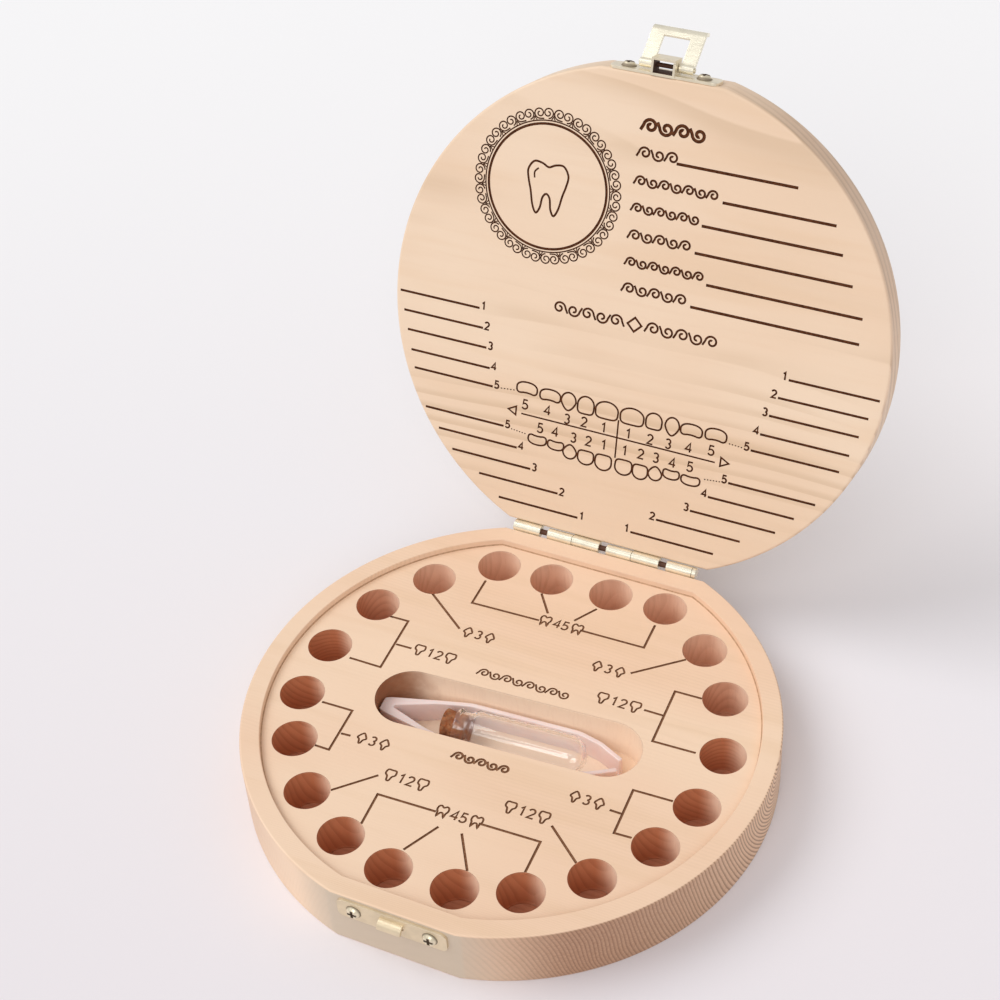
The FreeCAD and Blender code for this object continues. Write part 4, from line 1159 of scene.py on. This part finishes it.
def lathe(profile, materials, name, wander=None):
    """Turns (along, radius) points about the bottle's axis. Radius 0 closes an end."""
    shell = Shell()
    rings = []
    for along, radius in profile:
        angles = [math.tau * i / LATHE_STEPS for i in range(LATHE_STEPS if radius else 1)]
        rings.append([len(shell.points) + i for i in range(len(angles))])
        for angle in angles:
            reach = radius + (wander(along, angle) if wander and radius else 0.0)
            shell.points.append((along, *polar(reach, angle)))
    for ring, after in zip(rings, rings[1:]):
        for i in range(LATHE_STEPS):
            k = (i + 1) % LATHE_STEPS
            numbers = (ring[i % len(ring)], ring[k % len(ring)],
                       after[k % len(after)], after[i % len(after)])
            shell.face(dict.fromkeys(numbers), smooth=True)
    places = turned([point[:2] for point in shell.points], SLOT_TURN, SLOT_CENTRE)
    shell.points = [(x, y, BOTTLE_AXIS_Z + point[2])
                    for (x, y), point in zip(places, shell.points)]
    return shell.build(name, materials)


def eased(start, end, steps):
    """Points of a smooth S between two (along, radius) places."""
    return [(start[0] + (end[0] - start[0]) * t,
             start[1] + (end[1] - start[1]) * (t * t * (3 - 2 * t)))
            for t in spaced(0.0, 1.0, steps)]


def make_bottle():
    """The glass bottle, outside and inside in one skin."""
    lip_end = BOTTLE_MOUTH + LIP_LENGTH
    bore = (BOTTLE_MOUTH + MOUTH_ROUND, BORE_RADIUS)
    inner = BOTTLE_RADIUS - BOTTLE_WALL
    outside = arc_points((bore[0], BORE_RADIUS + MOUTH_ROUND), MOUTH_ROUND, 270, 180, 4)
    outside += arc_points((BOTTLE_MOUTH + LIP_ROUND, LIP_RADIUS - LIP_ROUND), LIP_ROUND,
                          180, 90, 6)
    outside += arc_points((lip_end - LIP_ROUND, LIP_RADIUS - LIP_ROUND), LIP_ROUND, 90, 20, 5)
    outside += [(lip_end + LIP_STEP, NECK_RADIUS)]
    outside += eased((NECK_END, NECK_RADIUS), (SHOULDER_END, BOTTLE_RADIUS), SHOULDER_STEPS)
    outside += [(SHOULDER_END + SHOULDER_FLAT, BOTTLE_RADIUS), (BOTTLE_MIDDLE, BOTTLE_RADIUS)]
    corner = (BOTTLE_END - END_ROUND, BOTTLE_RADIUS - END_ROUND)
    outside += arc_points(corner, END_ROUND, 90, 0, 20) + [(BOTTLE_END, 0.0)]
    back = BOTTLE_END - BOTTLE_WALL
    inner_round = END_ROUND - BOTTLE_WALL
    inside = [(back, 0.0)] + arc_points((back - inner_round, inner - inner_round), inner_round,
                                        0, 90, 18)
    inside += [(BOTTLE_MIDDLE, inner)]
    inside += eased((SHOULDER_END + SHOULDER_SHIFT, inner), (NECK_END + NECK_SHIFT, BORE_INNER),
                    SHOULDER_STEPS)
    inside += [bore]
    piece = lathe(outside, [GLASS], "bottle_glass")
    hollow = lathe(inside, [GLASS], "bottle_hollow")
    joined = join([piece, hollow])
    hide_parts("vial_glass")
    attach(joined, "bottle")


def join(pieces):
    """Joins meshes into the first one and welds points that meet."""
    made = bmesh.new()
    for piece in pieces:
        made.from_mesh(piece.data)
    bmesh.ops.remove_doubles(made, verts=made.verts, dist=MEETING * MM)
    made.to_mesh(pieces[0].data)
    made.free()
    for piece in pieces[1:]:
        bpy.data.objects.remove(piece)
    return pieces[0]


def make_cork():
    """The stopper, slightly uneven, pushed into the bottle's mouth."""
    def wander(along, angle):
        return sum(size * math.sin(count * angle + lean * along)
                   for size, count, lean in CORK_WAVES)
    body = [(CORK_BACK, 0.0), (CORK_BACK, CORK_BIG * 0.5)]
    body += arc_points((CORK_BACK + CORK_ROUND, CORK_BIG - CORK_ROUND - CORK_SLACK), CORK_ROUND,
                       180, 90, 6)
    slope = (CORK_SMALL - CORK_BIG) / (CORK_FRONT - CORK_BACK)
    for along in spaced(CORK_BACK + 2 * CORK_ROUND, CORK_FRONT - CORK_CHAMFER, 14):
        radius = CORK_BIG + slope * (along - CORK_BACK) - CORK_SLACK
        body.append((along, radius if along < BOTTLE_MOUTH else radius - CORK_SQUEEZE))
    body += [(CORK_FRONT, CORK_SMALL - CORK_END_INSET), (CORK_FRONT, 0.0)]
    piece = lathe(body, [CORK], "cork_stopper", wander)
    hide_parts("vial_cork")
    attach(piece, "cork")


# ---------------- tweezers

TWEEZERS_LOW, TWEEZERS_HIGH = corners("tweezers")
ARM_THICKNESS = 1.1
ARM_POINTS = [(-30.6, 1.7), (-29.4, 2.3), (-18.6, 4.85), (-11.0, 6.5), (15.0, 6.5),
              (20.6, 5.0), (26.4, 1.9)]
ARM_ROUNDS = [0.9, 2.5, 9.0, 9.0, 9.0, 9.0, 0.3]
ARM_ROOT = (-27.6, 0.3)
ARM_ROOT_LENGTH = 1.5
ARM_HALF_GAP = 0.05
LONGEST_CUT = 0.45
TWEEZERS_BEVEL = 0.28
BEVEL_STEPS = 3
SHARP_ANGLE = math.radians(50)


def filleted(points, rounds, steps=7):
    """An open chain whose inner corners are rounded by tangent arcs."""
    made = [tuple(points[0])]
    for i in range(1, len(points) - 1):
        before, here, after = (Vector(points[i + k]) for k in (-1, 0, 1))
        arriving, leaving = (here - before), (after - here)
        bend = arriving.angle(leaving)
        longest = LONGEST_CUT * min(arriving.length, leaving.length)
        cut = min(rounds[i] * math.tan(bend / 2), longest)
        start = here - arriving.normalized() * cut
        end = here + leaving.normalized() * cut
        for t in spaced(0.0, 1.0, steps):
            a, b = start.lerp(here, t), here.lerp(end, t)
            made.append(tuple(a.lerp(b, t)))
    made.append(tuple(points[-1]))
    return made


def offset_chain(chain, distance):
    """The chain moved sideways, towards the middle line of the tweezers."""
    made = []
    for i, point in enumerate(chain):
        a = Vector(chain[max(0, i - 1)])
        b = Vector(chain[min(len(chain) - 1, i + 1)])
        along = (b - a).normalized()
        made.append(tuple(Vector(point) + Vector((along.y, -along.x)) * distance))
    return made


def make_tweezers():
    """Moulded tweezers standing on edge, with both arms round the bottle."""
    outer = filleted(ARM_POINTS, ARM_ROUNDS)
    inner = [(x, max(ARM_HALF_GAP, y)) for x, y in offset_chain(outer, ARM_THICKNESS)
             if x > ARM_ROOT[0] + ARM_ROOT_LENGTH]
    outline = outer + list(reversed(inner)) + [ARM_ROOT]
    outline += [(x, -y) for x, y in reversed(outline)]
    outline = list(reversed(turned(outline, SLOT_TURN, SLOT_CENTRE)))
    shell = Shell()
    bottom = shell.loop(outline, TWEEZERS_LOW.z)
    top = shell.loop(outline, TWEEZERS_HIGH.z)
    shell.band(bottom, top)
    shell.face(list(reversed(bottom)))
    shell.face(top)
    piece = shell.build("tweezers_milky", [PLASTIC])
    bevel = piece.modifiers.new("rounded_edges", "BEVEL")
    bevel.width = TWEEZERS_BEVEL * MM
    bevel.segments = BEVEL_STEPS
    bevel.limit_method = "ANGLE"
    bevel.angle_limit = SHARP_ANGLE
    bevel.harden_normals = True
    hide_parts("tweezers")
    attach(piece, "tweezers")


# ---------------- metal parts

SHADOW_BROWN = (84, 50, 30)
SCREW_SHADE_BROWN = (88, 66, 46)
SCREW_GOLD = (240, 228, 200)
AXIS_X = (1.0, 0.0, 0.0)
AXIS_Z = (0.0, 0.0, 1.0)
PIN_HEAD_X = (22.15, 22.10)
HASP_PIN_SHADE_X = (2.6, 2.4)
BRACKET_SHADE_X = (2.32, 2.24)
BRACKET_SHADE_OUTWARD = (-2.0, 1.55)
BRACKET_SHADE_LENGTHWISE = (-2.72, 1.6)
SCREW_X = 8.7
SCREW_SLOT = (0.42, 0.22)
SCREW_SLOT_END = (1.2, 0.95)
SCREW_SHADOW_RING = (1.35, 1.7)
SCREW_RING_SHADE = 0.75
SCREW_ROUNDING = 0.4


def screw_look(name, node, upward):
    """Plating with the painted shade of a cross of two slots on each of two screw heads, left and
    right, and a painted contact shadow round each head.
    """
    look = metal_look(name, SCREW_GOLD, 0.3, SCREW_ROUNDING)
    low, high = corners(node)
    middle = (low + high) / 2
    sideways = look.math("ABSOLUTE", look.along(AXIS_X, middle))
    across = look.math("ABSOLUTE", sideways - SCREW_X)
    upright = look.math("ABSOLUTE", look.along(upward, middle))
    line = look.math("MINIMUM", across, upright)
    near = look.math("MAXIMUM", across, upright)
    # Painted shade stands for the cross slots, which are not cut into the heads.
    cross = look.between(line, *SCREW_SLOT) * look.between(near, *SCREW_SLOT_END)
    # Painted contact shadow in a ring round each head.
    ring = look.between(look.length(across, upright), *SCREW_SHADOW_RING) * SCREW_RING_SHADE
    paint_shade(look, look.math("MAXIMUM", cross, ring), SCREW_SHADE_BROWN)
    return look


def dress_metal():
    """Gives every metal node its plating, with painted shade inside the bracket, on the hinge pin
    away from its head and on the hasp pin inside the bracket.
    """
    plating = metal_look("pale_gold", (255, 248, 226))
    plate = metal_look("catch_gold", (232, 214, 182), 0.36)
    pin = metal_look("pin_gold", (252, 244, 222))
    # Painted shade on the hinge pin left of its head, where it shows in the gaps between the
    # knuckles.
    paint_shade(pin, pin.between(pin.along(AXIS_X), *PIN_HEAD_X), SHADOW_BROWN)
    pivot = Vector(joint("hasp_pivot")["pos_m"]) / MM
    turn = open_lid_place().to_3x3()
    outward, lengthwise = turn @ Vector((0.0, -1.0, 0.0)), turn @ Vector((0.0, 0.0, 1.0))

    bracket = metal_look("bracket_gold_painted_shade", (244, 232, 206), 0.3)
    # Painted shade on the plate inside the bracket, between its folded sides.
    sideways = bracket.math("ABSOLUTE", bracket.along(AXIS_X, pivot))
    inside = (bracket.between(sideways, *BRACKET_SHADE_X)
              * bracket.within(bracket.along(outward, pivot), *BRACKET_SHADE_OUTWARD)
              * bracket.within(bracket.along(lengthwise, pivot), *BRACKET_SHADE_LENGTHWISE))
    paint_shade(bracket, inside, SHADOW_BROWN)
    hasp_pin = metal_look("hasp_pin_gold_painted_shade", SCREW_GOLD, 0.3)
    # Painted shade on the middle of the hasp's pin, inside the bracket.
    sideways = hasp_pin.math("ABSOLUTE", hasp_pin.along(AXIS_X, pivot))
    paint_shade(hasp_pin, hasp_pin.between(sideways, *HASP_PIN_SHADE_X), SHADOW_BROWN)

    looks = {"catch_plate": plate, "latch_plate": bracket, "hinge_pin": pin,
             "latch_pin": hasp_pin,
             "catch_screws": screw_look("catch_screw_gold", "catch_screws", AXIS_Z),
             "latch_screws": screw_look("latch_screw_gold", "latch_screws", lengthwise)}
    for name, node in frame["nodes"].items():
        if node.data.materials and node.data.materials[0].name == "brass_plate":
            node.data.materials[0] = looks.get(name, plating).material


# ---------------- stage

CAMERA_TURN = math.radians(27.14)
CAMERA_RISE = math.radians(42.10)
CAMERA_ROLL = math.radians(-3.92)
CAMERA_DISTANCE = 513.28
CAMERA_LENS = 71.45
CAMERA_TARGET = Vector((-38.53, 77.39, 0.0))
CAMERA_REACH = 20.0
FLOOR_SIZE = 6000.0
WORLD_LEVEL = 0.54
WORLD_COLOUR = (1.0, 0.985, 0.99, 1.0)
FARTHER = (-0.40, 0.92, 0.0)
FLOOR_FROM = -160.0
FLOOR_TO = 380.0

# Name, direction it shines from, spread in degrees, strength.
LAMPS = [("key_lamp", (-1500.0, -340.0, 1750.0), 40.0, 1.16),
         ("front_lamp", (300.0, -1800.0, 1400.0), 44.0, 0.92)]


def make_camera():
    """The camera of the photograph."""
    camera = bpy.data.objects.new("camera", bpy.data.cameras.new("camera"))
    bpy.context.scene.collection.objects.link(camera)
    camera.data.lens = CAMERA_LENS
    camera.data.clip_end = CAMERA_REACH
    back = Vector((math.sin(CAMERA_TURN) * math.cos(CAMERA_RISE),
                   -math.cos(CAMERA_TURN) * math.cos(CAMERA_RISE), math.sin(CAMERA_RISE)))
    level = Vector((math.cos(CAMERA_TURN), math.sin(CAMERA_TURN), 0.0))
    upright = back.cross(level)
    across = math.cos(CAMERA_ROLL) * level + math.sin(CAMERA_ROLL) * upright
    upward = -math.sin(CAMERA_ROLL) * level + math.cos(CAMERA_ROLL) * upright
    axes = Matrix((across, upward, back)).transposed().to_4x4()
    place = (CAMERA_TARGET + back * CAMERA_DISTANCE) * MM
    camera.matrix_world = Matrix.Translation(place) @ axes
    bpy.context.scene.camera = camera


def add_lamp(name, place, spread, strength):
    """Even, far-off soft light that comes from the direction of a place."""
    lamp = bpy.data.objects.new(name, bpy.data.lights.new(name, "SUN"))
    bpy.context.scene.collection.objects.link(lamp)
    lamp.data.angle = math.radians(spread)
    lamp.data.energy = strength
    lamp.location = Vector(place) * MM
    lamp.rotation_euler = (-Vector(place)).to_track_quat("-Z", "Y").to_euler()


def make_stage():
    """Pale floor with painted light that makes it paler towards the back, even surroundings, and
    soft light from the left and the front.
    """
    look = Look("floor_paper")
    mottling = look.noise(0.004, detail=1.0)
    near = look.mix(mottling, (236, 231, 235), (233, 228, 232))
    far = look.mix(mottling, (248, 248, 249), (246, 246, 247))
    # Painted light: the floor grows paler towards the back, standing in for the lamps' falloff.
    farther = look.between(look.along(FARTHER), FLOOR_FROM, FLOOR_TO)
    look.set_all({"Base Color": look.mix(farther, near, far), "Roughness": 0.9,
                  "Specular IOR Level": 0.0})
    shell = Shell()
    half = FLOOR_SIZE / 2
    shell.face(shell.loop([(-half, -half), (half, -half), (half, half), (-half, half)], 0.0))
    floor = shell.build("floor", [look.material])
    world = bpy.data.worlds.new("surroundings")
    bpy.context.scene.world = world
    world.use_nodes = True
    background = world.node_tree.nodes["Background"]
    background.inputs["Color"].default_value = WORLD_COLOUR
    background.inputs["Strength"].default_value = WORLD_LEVEL
    for lamp in LAMPS:
        add_lamp(*lamp)


# ---------------- making

GLASS = glass_look("clear_bottle_glass")
CORK = cork_look("cork_grain")
PLASTIC = plastic_look("milky_plastic")

make_camera()
make_base()
make_lid()
make_bottle()
make_cork()
make_tweezers()
dress_metal()
make_stage()

bpy.context.scene.view_settings.view_transform = "Standard"
